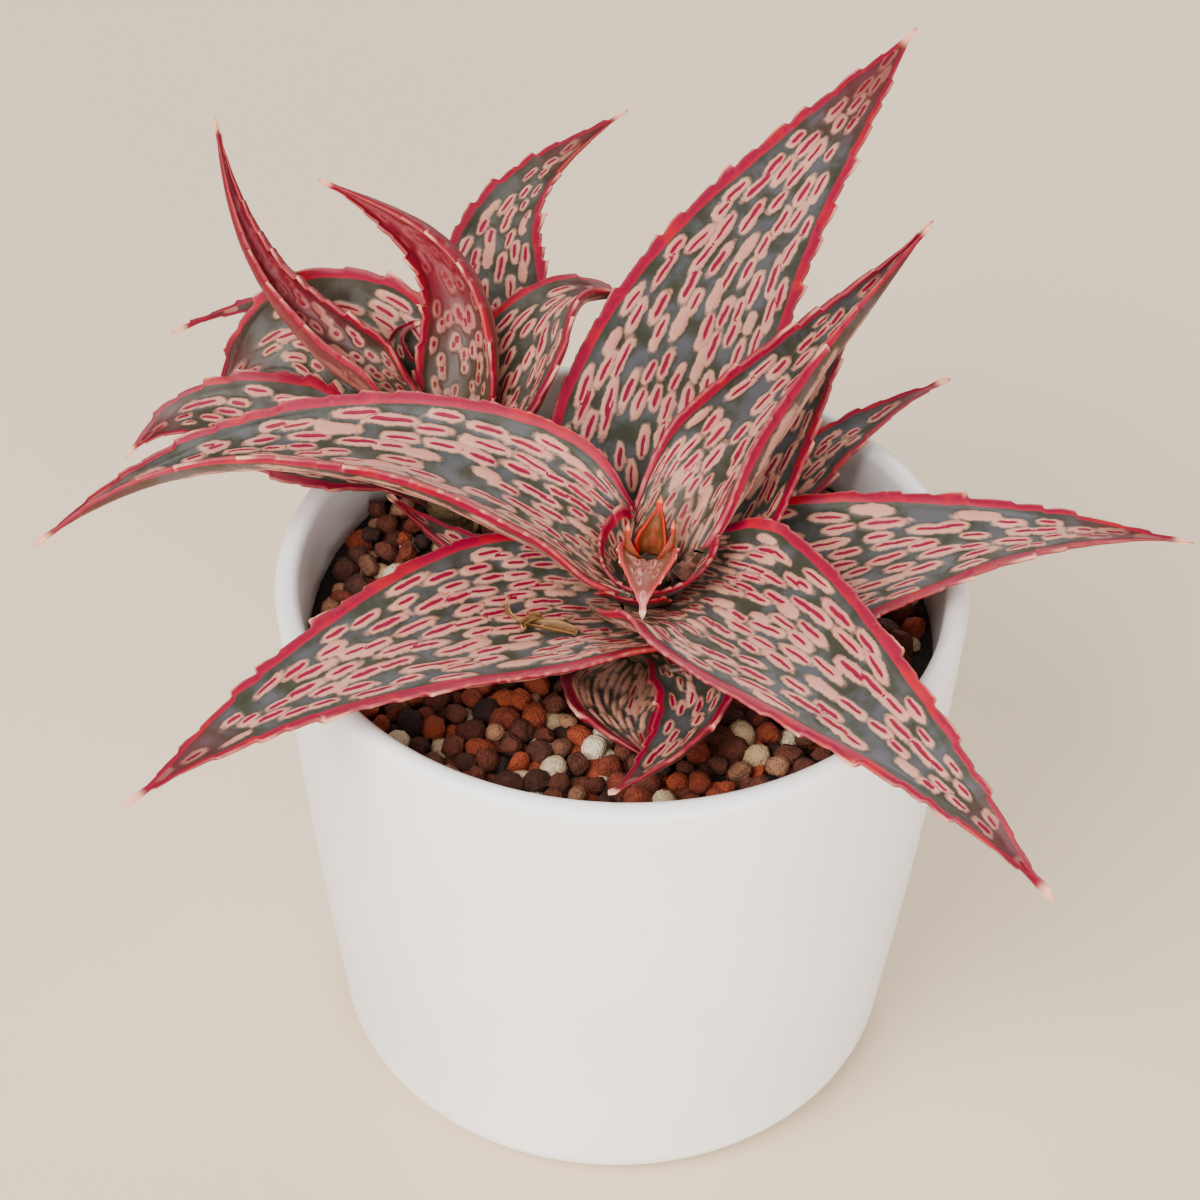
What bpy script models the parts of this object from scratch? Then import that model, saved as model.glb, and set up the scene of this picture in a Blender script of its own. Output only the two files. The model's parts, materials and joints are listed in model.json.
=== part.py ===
"""A spotted aloe hybrid and its offset, growing in grit in a white glazed pot.

The pot stands on z = 0 with its axis on the z axis. +X is to the right and +Y away
from the side that the plant is seen from. Lengths are in millimetres until a mesh is
made, and in metres from there on.

Every leaf is one closed blade. Its spine is a cubic curve from a short stem to its tip,
its cross-section is an arc that opens out from the base to the tip, and round the stem
the blades lie in one another like cups, the oldest lowest.
"""
import math
import random
from dataclasses import dataclass

import bmesh
import bpy
import numpy as np
from mathutils import Vector
from mathutils.geometry import delaunay_2d_cdt

MM = 0.001
GAP = 0.3                  # clearance between pieces that rest on each other

# Pot
POT_HEIGHT = 95.0
RIM_RADIUS = 55.0
FOOT_RADIUS = 47.5         # outer wall radius just above the rounded foot
FOOT_CORNER = 7.0
WALL = 4.0
FLOOR = 5.0
LIP_ROUND = 1.9
BELLY = 0.75               # how far the wall swells between foot and rim
POT_SIDES = 64
DRAIN_RADIUS = 2.5
DRAIN_CIRCLE = 19.0

# Grit
GRIT_TOP = 84.6            # general level at the wall
GRIT_BOTTOM = 6.0
GRAIN_PITCH = 5.0
GRAIN_RISE = 2.2
LEAF_CLEARANCE = 0.6       # grit stays this far under the leaves
SEED = 7

# Stems
STEM_RADIUS = 3.7
STEM_DEPTH = 24.0          # how far a stem goes down into the grit
STEM_SIDES = 20

# Leaves
STATION_PITCH = 2.3        # along a blade; a tooth takes two
TOOTH = 0.9                # how far a tooth stands out of the margin
EDGE_HALF = 0.45           # half the width of a blade's blunt tip
SPINE_SAMPLES = 240


@dataclass(frozen=True)
class Rosette:
    """A growing point, whose upright axis may lean toward an azimuth (degrees)."""

    crown: tuple
    lean: float = 0.0
    toward: float = 0.0

    def turn(self):
        """Return the rotation from the rosette's own frame to the object's."""
        h, t = math.radians(self.toward), math.radians(self.lean)
        k = np.array([-math.sin(h), math.cos(h), 0.0])
        cross = np.array([[0, -k[2], k[1]], [k[2], 0, -k[0]], [-k[1], k[0], 0]])
        return np.eye(3) + math.sin(t) * cross + (1 - math.cos(t)) * cross @ cross

    def out(self, points):
        """Return points of the rosette's frame in the object's frame."""
        return points @ self.turn().T + np.array(self.crown)

    def back(self, point):
        """Return a point of the object's frame in the rosette's frame."""
        return (np.asarray(point, float) - np.array(self.crown)) @ self.turn()

    def aim(self, vector):
        """Return a direction of the object's frame in the rosette's frame."""
        return np.asarray(vector, float) @ self.turn()


@dataclass(frozen=True)
class Leaf:
    """One leaf: where it starts, where it ends and how its blade is shaped.

    base is its height over the crown and slope its rise over run where it leaves the
    stem, both in the rosette's frame, as is heading. tip, tip_heading and tip_rise
    are in the object's frame. fold is the arc across the blade, in degrees, at the
    base, at 15%, at half and at 90% of its length. roll turns the blade about its
    spine, at half its length and at the tip. Between the two radii of cup the blade
    leaves the cone that it shares with its neighbours.
    """

    name: str
    on: Rosette
    base: float
    slope: float
    heading: float
    tip: tuple
    tip_heading: float
    tip_rise: float
    width: float
    fold: tuple
    pull: tuple = (0.35, 0.35)
    roll: tuple = (0, 0)
    cup: tuple = (12, 24)
    thick: float = 4.5
    widest: float = 0.22
    taper: tuple = (1.25, 1.15)
    foot: float = 0.8
    stem: float = 4.0
    across: int = 5


PLANT = Rosette((4, -8, 104))
OFFSET = Rosette((-30, 26, 103.5), 12, 115)

LEAVES = (
    Leaf("leaf_heart", PLANT, -0.1, 2.0, 80, (5.5, -4, 112), 80, 70, 6, (150, 150, 140,
         140), cup=(1, 2), thick=1.6, stem=1.3),
    Leaf("leaf_young", PLANT, -0.1, 1.25, -99, (3, -22.6, 105.6), -90, -45, 10, (190, 110,
         70, 70), cup=(3, 7), thick=1.6, stem=1.5, foot=1.1),
    Leaf("leaf_upright", PLANT, -2.0, 0.9, 56, (48, 40, 134), 38, 35, 22, (300, 170,
         200, 240), pull=(0.36, 0.4), cup=(8, 20), taper=(1.1, 1.2), foot=1.2, across=7),
    Leaf("leaf_left", PLANT, -4.4, 0.7, 153, (-91, -5, 102), 200, -37, 27, (240, 110,
         120, 180), pull=(0.38, 0.38), roll=(2, 25), cup=(10, 20), taper=(1.1, 1.2),
         foot=1.05, thick=3.6, across=7),
    Leaf("leaf_front_right", PLANT, -6.6, 0.5, -39, (60, -73, 99), -50, -20, 35, (190,
         95, 50, 60), pull=(0.26, 0.3), roll=(17, 10), cup=(11, 19), widest=0.15,
         taper=(1.05, 1.2), foot=1.1),
    Leaf("leaf_tucked", PLANT, -8.9, 0.5, 48, (39, 40, 122), 48, 36, 26, (150, 90, 90,
         100), pull=(0.36, 0.3), thick=2.7, foot=0.75),
    Leaf("leaf_front_left", PLANT, -10.2, 0.45, 207, (-70, -58, 99), 222, -14, 33, (130,
         60, 45, 60), roll=(-6, -8), taper=(1.2, 1.25), foot=1.0),
    Leaf("leaf_back", PLANT, -12.2, 0.4, 93, (48, 88, 141), 50, 26, 36, (125, 48, 55,
         80), pull=(0.42, 0.38), taper=(1.4, 1.05), foot=0.88),
    Leaf("leaf_right", PLANT, -15.2, 0.38, 9, (89, 2, 101), -8, -4, 34, (120, 60, 60,
         80), roll=(8, 0), thick=4.0, widest=0.24, taper=(1.1, 1.3), foot=0.9),
    Leaf("leaf_low_right", PLANT, -17.3, 0.17, 54, (54, 44, 100), 30, 2, 17, (120, 60,
         60, 70), thick=2.8, foot=0.65),
    Leaf("leaf_low_left", PLANT, -15.6, 0.2, 160, (-38, 19, 93), 140, 10, 12, (80, 60,
         60, 70), foot=0.5),
    Leaf("leaf_low_front", PLANT, -18.8, 0.06, -113, (4.5, -38, 90), -55, -8, 20, (60,
         45, 45, 60), pull=(0.5, 0.3), thick=2.7, taper=(1.4, 1.0), foot=0.7),
    Leaf("leaf_low_curl", PLANT, -16.2, 0.27, -50, (-1, -52, 96.8), -122, 20, 14, (80,
         60, 80, 90), pull=(0.4, 0.5), thick=2.6, foot=0.6),
    Leaf("offset_heart", OFFSET, -8.6, 1.2, 113, (-34.5, 43.5, 110.5), 5, 10, 11.3,
         (120, 110, 120, 130), pull=(0.5, 0.4), cup=(7, 11), thick=1.2, foot=0.61),
    Leaf("offset_curled", OFFSET, -4.6, 1.35, 62, (-50, 54, 131), 168, 22, 18.5, (130,
         140, 190, 230), pull=(0.6, 0.42), cup=(7, 12), thick=2.2, foot=0.77, across=7),
    Leaf("offset_back", OFFSET, -15.1, 0.98, 67, (-1, 94, 120), 28, 22, 24, (80, 70, 60,
         110), pull=(0.55, 0.5), roll=(8, 0), cup=(8, 14), thick=2.2, widest=0.32,
         foot=0.24),
    Leaf("offset_tall", OFFSET, -2.0, 1.3, 168, (-68, 60, 138), 120, 78, 18, (180, 200,
         250, 260), pull=(0.4, 0.5), roll=(-45, -35), cup=(7, 12), thick=2.2,
         widest=0.1, taper=(0.95, 1.05), foot=0.9, across=7),
    Leaf("offset_right", OFFSET, -9.2, 1.15, 16, (0, 46, 114.5), -12, -12, 25, (90, 60,
         60, 80), pull=(0.5, 0.45), roll=(16, -4), cup=(8, 16), thick=2.4, widest=0.3,
         taper=(2.0, 0.9), foot=0.35),
    Leaf("offset_left", OFFSET, -10.9, 1.0, 120, (-69, 42, 94), 225, -45, 29, (80, 70,
         35, 60), pull=(0.85, 0.45), roll=(-46, -40), cup=(8, 16), thick=1.2,
         widest=0.42, foot=0.25),
    Leaf("offset_low_left", OFFSET, -14.5, 0.8, 192, (-81, 23.5, 97.5), 214, -38, 20.5,
         (70, 60, 60, 80), pull=(0.5, 0.38), roll=(-46, -38), cup=(8, 14), thick=1.7,
         widest=0.44, foot=0.24),
    Leaf("offset_low_back", OFFSET, -13.4, 0.91, 110, (-76, 51.5, 102), 205, -14, 7, (70,
         70, 60, 80), pull=(0.55, 0.5), cup=(9, 15), thick=0.7, widest=0.45, foot=0.26),
)


def unit(vectors):
    """Return vectors scaled to length one."""
    return vectors / np.linalg.norm(vectors, axis=-1, keepdims=True)


def direction(heading, rise):
    """Return the unit vector at an azimuth and an elevation in degrees."""
    h, e = math.radians(heading), math.radians(rise)
    return np.array([math.cos(h) * math.cos(e), math.sin(h) * math.cos(e), math.sin(e)])


def smooth(x, low, high):
    """Return a smooth step of x from 0 at low to 1 at high."""
    t = np.clip((x - low) / (high - low), 0, 1)
    return t * t * (3 - 2 * t)


class Blade:
    """The surface of one leaf, by s along it (0 to 1) and a across it (-1 to 1)."""

    def __init__(self, leaf):
        self.leaf = leaf
        rise = math.degrees(math.atan(leaf.slope))
        start = np.array([0, 0, leaf.base]) + leaf.stem * direction(leaf.heading, 0)
        tip = leaf.on.back(leaf.tip)
        chord = np.linalg.norm(tip - start)
        p1 = start + leaf.pull[0] * chord * direction(leaf.heading, rise)
        p2 = tip - leaf.pull[1] * chord * leaf.on.aim(direction(leaf.tip_heading, leaf.tip_rise))
        t = np.linspace(0, 1, SPINE_SAMPLES)[:, None]
        self.points = ((1 - t) ** 3 * start + 3 * (1 - t) ** 2 * t * p1
                       + 3 * (1 - t) * t * t * p2 + t ** 3 * tip)
        steps = np.linalg.norm(np.diff(self.points, axis=0), axis=1)
        self.arc = np.concatenate([[0], np.cumsum(steps)])
        self.length = self.arc[-1]
        self.tangents = unit(np.gradient(self.points, axis=0))
        self.sides = np.empty_like(self.points)
        side = direction(leaf.heading + 90, 0)
        for i, tangent in enumerate(self.tangents):
            side = side - tangent * side.dot(tangent)
            side = side / np.linalg.norm(side)
            self.sides[i] = side

    def half_width(self, s):
        """Return half the blade's width along its arc."""
        leaf = self.leaf
        near = leaf.foot + (1 - leaf.foot) * smooth(s, 0, leaf.widest)
        x = np.clip((s - leaf.widest) / (1 - leaf.widest), 0, 1)
        far = (1 - x ** leaf.taper[0]) ** leaf.taper[1]
        return np.maximum(leaf.width / 2 * np.where(s < leaf.widest, near, far), EDGE_HALF)

    def fold(self, s):
        """Return the arc across the blade in radians."""
        knots = np.linspace(0, 1, 101)
        fold = self.leaf.fold
        arc = np.interp(knots, [0, 0.15, 0.5, 0.9, 1], list(fold) + [fold[-1]])
        window = np.hanning(19)[1:-1]
        arc = np.convolve(np.pad(arc, 8, mode="edge"), window / window.sum(), mode="valid")
        return np.radians(np.interp(s, knots, arc))

    def spine(self, s):
        """Return the spine's points and its side and normal directions."""
        at = np.clip(s, 0, 1) * self.length

        def pick(field):
            return np.stack([np.interp(at, self.arc, field[:, k]) for k in range(3)], -1)

        tangent = unit(pick(self.tangents))
        side = pick(self.sides)
        side = unit(side - tangent * (side * tangent).sum(-1, keepdims=True))
        normal = np.cross(tangent, side)
        half, end = self.leaf.roll
        roll = np.interp(s, [0, 0.08, 0.3, 0.55, 1], [0, 0, 0.7 * half, half, end])
        roll = np.radians(roll)[..., None]
        return (pick(self.points), side * np.cos(roll) + normal * np.sin(roll),
                normal * np.cos(roll) - side * np.sin(roll))

    def top(self, s, a, bump=0.0):
        """Return points of the upper face; bump carries the margin outward."""
        leaf = self.leaf
        point, side, normal = self.spine(s)
        half = self.half_width(s)
        angle = self.fold(s) / 2
        reach = half / angle * (1 + bump / half)
        x = reach * np.sin(a * angle)
        y = reach * (1 - np.cos(a * angle))
        q = point + side * x[..., None] + normal * y[..., None]
        out = np.hypot(q[..., 0], q[..., 1])
        cone = leaf.base + leaf.slope * (out - leaf.stem)
        free = 1 - (1 - smooth(out, *leaf.cup)) * (1 - smooth(s, 0.15, 0.4))
        q[..., 2] = (1 - free) * cone + free * q[..., 2]
        return leaf.on.out(q)

    def normal(self, s, a):
        """Return the upper face's outward normals."""
        s0, s1 = np.clip(s - 0.004, 0, 1), np.clip(s + 0.004, 0, 1)
        a0, a1 = np.clip(a - 0.02, -1, 1), np.clip(a + 0.02, -1, 1)
        along = self.top(s1, a) - self.top(s0, a)
        return unit(np.cross(along, self.top(s, a1) - self.top(s, a0)))

    def under(self, s, a):
        """Return points of the lower face."""
        leaf = self.leaf
        half = self.half_width(s)
        depth = leaf.thick * (0.3 + 0.7 * smooth(s, 0.02, 0.3))
        depth = depth * np.clip(half / (leaf.width / 2), 0, 1) ** 0.7
        depth = np.minimum(depth, 1.4 * half) * (1 - np.abs(a) ** 2.2)
        return self.top(s, a) - self.normal(s, a) * depth[..., None]

    def stations(self):
        """Return the even number of steps that the blade is built in."""
        return max(8, 2 * round(self.length / STATION_PITCH / 2))

    def mesh(self):
        """Return the closed blade's vertices and triangles.

        Both faces are split along the same diagonals, mirrored about the spine, so
        that the thin margins never cross.
        """
        n, across = self.stations(), self.leaf.across
        s = np.linspace(0, 1, n + 1)
        bump = np.zeros(n + 1)
        bump[1::2] = TOOTH * np.clip(self.half_width(s[1::2]) / 4, 0.2, 1)
        rows = []
        for j, a in enumerate(np.linspace(-1, 1, across)):
            edge = j in (0, across - 1)
            rows.append(self.top(s, np.full(n + 1, a), bump if edge else bump * 0))
        for a in np.linspace(-1, 1, across)[1:-1]:
            rows.append(self.under(s, np.full(n + 1, a)))
        verts = np.stack(rows, 1)
        ring = verts.shape[1]

        def upper(i, j):
            return i * ring + j

        def lower(i, j):
            return i * ring + (j if j in (0, across - 1) else across + j - 1)

        tris = []
        for face, flip in ((upper, False), (lower, True)):
            for i in range(n):
                for j in range(across - 1):
                    a, b = face(i, j), face(i, j + 1)
                    c, d = face(i + 1, j + 1), face(i + 1, j)
                    pair = [(a, c, b), (a, d, c)] if j < across // 2 else [(a, d, b), (b, d, c)]
                    tris += [t[::-1] for t in pair] if flip else pair
        for i, flip in ((0, False), (n, True)):
            for j in range(across - 1):
                a, b = upper(i, j), upper(i, j + 1)
                c, d = lower(i, j + 1), lower(i, j)
                pair = [t for t in ((a, b, c), (a, c, d)) if len(set(t)) == 3]
                tris += [t[::-1] for t in pair] if flip else pair
        return verts.reshape(-1, 3), tris


def pot_profile():
    """Return the pot's half section from the axis under the foot to the axis inside."""
    points = [(0.0, 0.0)]
    corner = FOOT_CORNER
    for k in range(6):
        turn = math.radians(-90 + 90 * k / 5)
        points.append((FOOT_RADIUS - corner + corner * math.cos(turn),
                       corner + corner * math.sin(turn)))
    for k in range(1, 4):
        z = corner + (POT_HEIGHT - LIP_ROUND - corner) * k / 4
        points.append((outer_radius(z), z))
    for k in range(7):
        turn = math.radians(180 * k / 6)
        points.append((RIM_RADIUS - LIP_ROUND + LIP_ROUND * math.cos(turn),
                       POT_HEIGHT - LIP_ROUND + LIP_ROUND * math.sin(turn)))
    for k in range(1, 4):
        z = POT_HEIGHT - LIP_ROUND - (POT_HEIGHT - LIP_ROUND - FLOOR - 4) * k / 4
        points.append((inner_radius(z), z))
    radius = inner_radius(FLOOR + 4)
    for k in range(3):
        turn = math.radians(90 * k / 2)
        points.append((radius - 4 + 4 * math.cos(turn), FLOOR + 4 - 4 * math.sin(turn)))
    points.append((0.0, FLOOR))
    return points


def outer_radius(z):
    """Return the outer wall's radius at a height."""
    t = (z - FOOT_CORNER) / (POT_HEIGHT - LIP_ROUND - FOOT_CORNER)
    return FOOT_RADIUS + (RIM_RADIUS - FOOT_RADIUS) * t + BELLY * math.sin(math.pi * min(max(t, 0), 1))


def inner_radius(z):
    """Return the inner wall's radius at a height."""
    return outer_radius(z) - WALL + (WALL - 2 * LIP_ROUND) * max(0.0, min(1.0, (z - 80) / 13))


def material(name, color, roughness):
    """Return a plain material with an sRGB colour."""
    linear = [((c / 255 + 0.055) / 1.055) ** 2.4 for c in color]
    mat = bpy.data.materials.new(name)
    mat.use_nodes = True
    shader = mat.node_tree.nodes["Principled BSDF"]
    shader.inputs["Base Color"].default_value = (*linear, 1)
    shader.inputs["Roughness"].default_value = roughness
    shader.inputs["Metallic"].default_value = 0.0
    mat.diffuse_color = (*linear, 1)
    return mat


def add_object(name, mesh, mat):
    """Link a mesh as an object and return it."""
    obj = bpy.data.objects.new(name, mesh)
    bpy.context.scene.collection.objects.link(obj)
    if mat is not None:
        mesh.materials.append(mat)
    return obj


def new_mesh(name, verts, faces, sharp=40):
    """Return a mesh in metres from points in millimetres, shaded smooth."""
    mesh = bpy.data.meshes.new(name)
    mesh.from_pydata([tuple(float(c) * MM for c in v) for v in verts], [], faces)
    mesh.validate()
    mesh.shade_smooth()
    mesh.set_sharp_from_angle(angle=math.radians(sharp))
    return mesh


def turned(name, profile, sides):
    """Return a closed mesh: a half section spun about the z axis."""
    verts, faces, rings = [], [], []
    for radius, z in profile:
        if radius < 1e-6:
            rings.append([len(verts)])
            verts.append((0.0, 0.0, z))
            continue
        rings.append(list(range(len(verts), len(verts) + sides)))
        for k in range(sides):
            turn = 2 * math.pi * k / sides
            verts.append((radius * math.cos(turn), radius * math.sin(turn), z))
    for low, high in zip(rings, rings[1:]):
        for k in range(sides):
            n = (k + 1) % sides
            if len(low) == 1:
                faces.append((low[0], high[n], high[k]))
            elif len(high) == 1:
                faces.append((low[k], low[n], high[0]))
            else:
                faces.append((low[k], low[n], high[n], high[k]))
    return new_mesh(name, verts, faces)


def rod(name, low, high, radius, sides, dome):
    """Return a closed round rod between two points, with a domed top if asked."""
    low, high = Vector(low), Vector(high)
    axis = (high - low).normalized()
    quarter = [(radius, 0.0)]
    if dome:
        quarter = [(radius * math.cos(math.radians(t)), radius * 0.5 * math.sin(math.radians(t)))
                   for t in (0, 25, 50, 75)]
        high = high - axis * radius * 0.5
    side = axis.orthogonal().normalized()
    other = axis.cross(side)
    verts, faces = [low], []
    rings = [(low, radius)] + [(high + axis * rise, r) for r, rise in quarter]
    for centre, r in rings:
        for k in range(sides):
            turn = 2 * math.pi * k / sides
            verts.append(centre + side * r * math.cos(turn) + other * r * math.sin(turn))
    verts.append(high + axis * (radius * 0.5 if dome else 0.0))
    last = len(verts) - 1
    for k in range(sides):
        n = (k + 1) % sides
        faces.append((0, 1 + n, 1 + k))
        for row in range(len(rings) - 1):
            a = 1 + row * sides
            faces.append((a + k, a + n, a + sides + n, a + sides + k))
        top = 1 + (len(rings) - 1) * sides
        faces.append((top + k, top + n, last))
    return new_mesh(name, verts, faces)


def cut(obj, cutter, solver="EXACT"):
    """Take the cutter's shape out of an object."""
    cutter.hide_render = True
    cutter.display_type = "WIRE"
    hole = obj.modifiers.new(cutter.name, "BOOLEAN")
    hole.operation = "DIFFERENCE"
    hole.object = cutter
    hole.solver = solver


def make_pot():
    """Make the pot with its three drain holes."""
    glaze = material("white glaze", (243, 239, 236), 0.35)
    pot = add_object("pot", turned("pot", pot_profile(), POT_SIDES), glaze)
    for k in range(3):
        turn = math.radians(90 + 120 * k)
        x, y = DRAIN_CIRCLE * math.cos(turn), DRAIN_CIRCLE * math.sin(turn)
        mesh = rod("drain", (x, y, -3), (x, y, FLOOR + 3), DRAIN_RADIUS, 16, False)
        cut(pot, add_object(f"drain_cutter_{k}", mesh, None), "MANIFOLD")
    return pot


def stem_ends(rosette, top):
    """Return where a stem starts in the grit and where it ends under the crown."""
    axis = rosette.turn() @ np.array([0.0, 0.0, 1.0])
    crown = np.array(rosette.crown)
    end = crown + axis * top
    level = (end[2] - GRIT_TOP) / axis[2]
    return end - axis * (level + STEM_DEPTH), end


def leaf_ceiling(blades):
    """Return points of the leaves' undersides, that the grit keeps below."""
    points = []
    for blade in blades:
        s, a = np.meshgrid(np.linspace(0, 1, 70), np.linspace(-1, 1, 15), indexing="ij")
        points.append(blade.under(s, a).reshape(-1, 3))
    return np.concatenate(points)


def grit_level(x, y, ceiling):
    """Return the grit's height at a place, without its grains."""
    radius = math.hypot(x, y)
    level = GRIT_TOP + 1.2 * smooth(np.array(y), 0, 45) - 0.8 * (1 - smooth(np.array(radius), 10, 45))
    near = np.hypot(ceiling[:, 0] - x, ceiling[:, 1] - y) < 4.0
    if near.any():
        level = min(level, ceiling[near, 2].min() - LEAF_CLEARANCE - GRAIN_RISE * 0.5)
    return float(level)


def make_grit(ceiling):
    """Make the grit: one body whose top is a bed of seeded grains.

    Grain centres lie on a shaken hexagonal grid. The mesh joins each centre to the
    hollows around it, so that every grain is a low faceted pebble.
    """
    rng = random.Random(SEED)
    edge = inner_radius(GRIT_TOP) - GAP
    sides = POT_SIDES
    rim = [(edge * math.cos(2 * math.pi * k / sides), edge * math.sin(2 * math.pi * k / sides))
           for k in range(sides)]
    centres = []
    rows = int(edge / GRAIN_PITCH / 0.866) + 2
    for i in range(-rows, rows + 1):
        for j in range(-rows, rows + 1):
            x = (j + 0.5 * (i % 2)) * GRAIN_PITCH + rng.uniform(-0.8, 0.8)
            y = i * GRAIN_PITCH * 0.866 + rng.uniform(-0.8, 0.8)
            if math.hypot(x, y) < edge - 2.0:
                centres.append((x, y))
    flat = delaunay_2d_cdt([Vector(c) for c in centres], [], [], 0, 1e-4)[2]
    hollows = []
    for tri in flat:
        if len(tri) == 3:
            x = sum(centres[v][0] for v in tri) / 3
            y = sum(centres[v][1] for v in tri) / 3
            if math.hypot(x, y) < edge - 1.6:
                hollows.append((x, y))
    plan = rim + centres + hollows
    bounds = [list(range(sides))]
    points, _, tris, _, _, _ = delaunay_2d_cdt([Vector(p) for p in plan], [], bounds, 1, 1e-4)
    verts = []
    for k, p in enumerate(points):
        rise = 0.0
        if sides <= k < sides + len(centres):
            rise = GRAIN_RISE * rng.uniform(0.55, 1.0)
        level = grit_level(p.x, p.y, ceiling) - GRAIN_RISE * 0.5
        verts.append((p.x, p.y, level + rise))
    faces = [tuple(t) for t in tris]
    rings = [list(range(sides))]
    for z in (60.0, 33.0, GRIT_BOTTOM + 4.5):
        rings.append(list(range(len(verts), len(verts) + sides)))
        for x, y in rim:
            scale = (inner_radius(z) - GAP) / edge
            verts.append((x * scale, y * scale, z))
    rings.append(list(range(len(verts), len(verts) + sides)))
    for x, y in rim:
        scale = (inner_radius(GRIT_BOTTOM) - 4.5) / edge
        verts.append((x * scale, y * scale, GRIT_BOTTOM))
    for high, low in zip(rings, rings[1:]):
        for k in range(sides):
            n = (k + 1) % sides
            faces.append((low[k], low[n], high[n], high[k]))
    verts.append((0.0, 0.0, GRIT_BOTTOM))
    for k in range(sides):
        faces.append((rings[-1][(k + 1) % sides], rings[-1][k], len(verts) - 1))
    mesh = new_mesh("grit", verts, faces, 20)
    rebuilt = bmesh.new()
    rebuilt.from_mesh(mesh)
    bmesh.ops.recalc_face_normals(rebuilt, faces=rebuilt.faces)
    rebuilt.to_mesh(mesh)
    rebuilt.free()
    return add_object("grit", mesh, material("baked clay grit", (122, 74, 52), 0.9))


def make_stem(name, rosette, top, grit):
    """Make a stem and its hole in the grit."""
    low, high = stem_ends(rosette, top)
    bark = material(name + " skin", (150, 128, 96), 0.75)
    mesh = rod(name, low, high, STEM_RADIUS, STEM_SIDES, True)
    add_object(name, mesh, bark)
    axis = (high - low) / np.linalg.norm(high - low)
    hole = rod(name + " hole", low - axis * GAP, high + axis * 6, STEM_RADIUS + GAP,
               STEM_SIDES, False)
    cut(grit, add_object(name + "_hole_cutter", hole, None))


def make_leaf(blade):
    """Make one leaf as an object of its own."""
    leaf = blade.leaf
    color = (138, 118, 108) if leaf.on is PLANT else (176, 116, 108)
    if "heart" in leaf.name:
        color = (206, 92, 62)
    verts, faces = blade.mesh()
    mat = material(leaf.name + " skin", color, 0.5)
    return add_object(leaf.name, new_mesh(leaf.name, verts, faces, 55), mat)


def main():
    """Build the whole plant in its pot."""
    for obj in list(bpy.data.objects):
        bpy.data.objects.remove(obj, do_unlink=True)
    blades = [Blade(leaf) for leaf in LEAVES]
    make_pot()
    grit = make_grit(leaf_ceiling(blades))
    make_stem("stem", PLANT, -0.95, grit)
    make_stem("offset_stem", OFFSET, -1.35, grit)
    for blade in blades:
        make_leaf(blade)


main()
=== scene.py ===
"""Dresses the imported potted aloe: spotted leaves, grit, glazed pot, studio and camera.

Lengths are millimetres in the classes and metres once they are in a mesh. The pot
stands on z = 0 with its axis on the z axis, +X is to the right of the side that the
plant is seen from and +Y away from it.
"""
from __future__ import annotations

import json
import logging
import math
from dataclasses import dataclass, fields
from enum import Enum

import bmesh
import bpy
import numpy as np
from mathutils import Matrix

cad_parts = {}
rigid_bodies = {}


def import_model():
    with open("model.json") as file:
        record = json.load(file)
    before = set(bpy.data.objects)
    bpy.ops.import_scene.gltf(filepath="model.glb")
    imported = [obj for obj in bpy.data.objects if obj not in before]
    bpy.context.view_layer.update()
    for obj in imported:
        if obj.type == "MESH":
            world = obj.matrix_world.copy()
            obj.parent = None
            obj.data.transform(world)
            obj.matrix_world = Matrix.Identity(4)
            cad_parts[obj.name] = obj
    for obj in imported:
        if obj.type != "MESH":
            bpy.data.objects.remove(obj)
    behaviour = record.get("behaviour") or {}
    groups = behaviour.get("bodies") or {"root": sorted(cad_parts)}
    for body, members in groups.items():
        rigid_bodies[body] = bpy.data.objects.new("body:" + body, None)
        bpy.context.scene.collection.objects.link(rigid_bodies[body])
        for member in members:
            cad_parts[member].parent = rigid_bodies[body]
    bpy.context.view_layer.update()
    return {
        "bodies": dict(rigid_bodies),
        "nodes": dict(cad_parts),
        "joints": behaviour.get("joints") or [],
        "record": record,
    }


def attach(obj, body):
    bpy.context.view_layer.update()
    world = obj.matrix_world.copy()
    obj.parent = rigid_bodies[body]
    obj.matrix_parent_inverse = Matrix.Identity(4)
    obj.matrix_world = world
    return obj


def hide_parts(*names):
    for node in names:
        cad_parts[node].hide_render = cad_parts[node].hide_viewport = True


LOG = logging.getLogger("aloe")
Array = np.ndarray
Color = tuple[float, float, float]
Place = tuple[float, float, float]
Socket = bpy.types.NodeSocket
Object = bpy.types.Object
Material = bpy.types.Material

MM = 0.001
BODY = "root"
SEED = 7
SEED_STEP = 31


def unit(vectors: Array) -> Array:
    """Return vectors scaled to length one."""
    return vectors / np.linalg.norm(vectors, axis=-1, keepdims=True)


def direction(heading: float, rise: float) -> Array:
    """Return the unit vector at an azimuth and an elevation in degrees."""
    h, e = math.radians(heading), math.radians(rise)
    return np.array([math.cos(h) * math.cos(e), math.sin(h) * math.cos(e), math.sin(e)])


def smooth(x: Array | float, low: Array | float, high: Array | float) -> Array:
    """Return a smooth step of x: 3t^2 - 2t^3, with t from 0 at low to 1 at high."""
    t = np.clip((x - low) / (high - low), 0, 1)
    return t * t * (3 - 2 * t)


def whole(x: Array) -> tuple[Array, Array]:
    """Return the whole part of numbers and the rest of them."""
    floor = np.floor(x)
    return floor, x - floor


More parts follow.
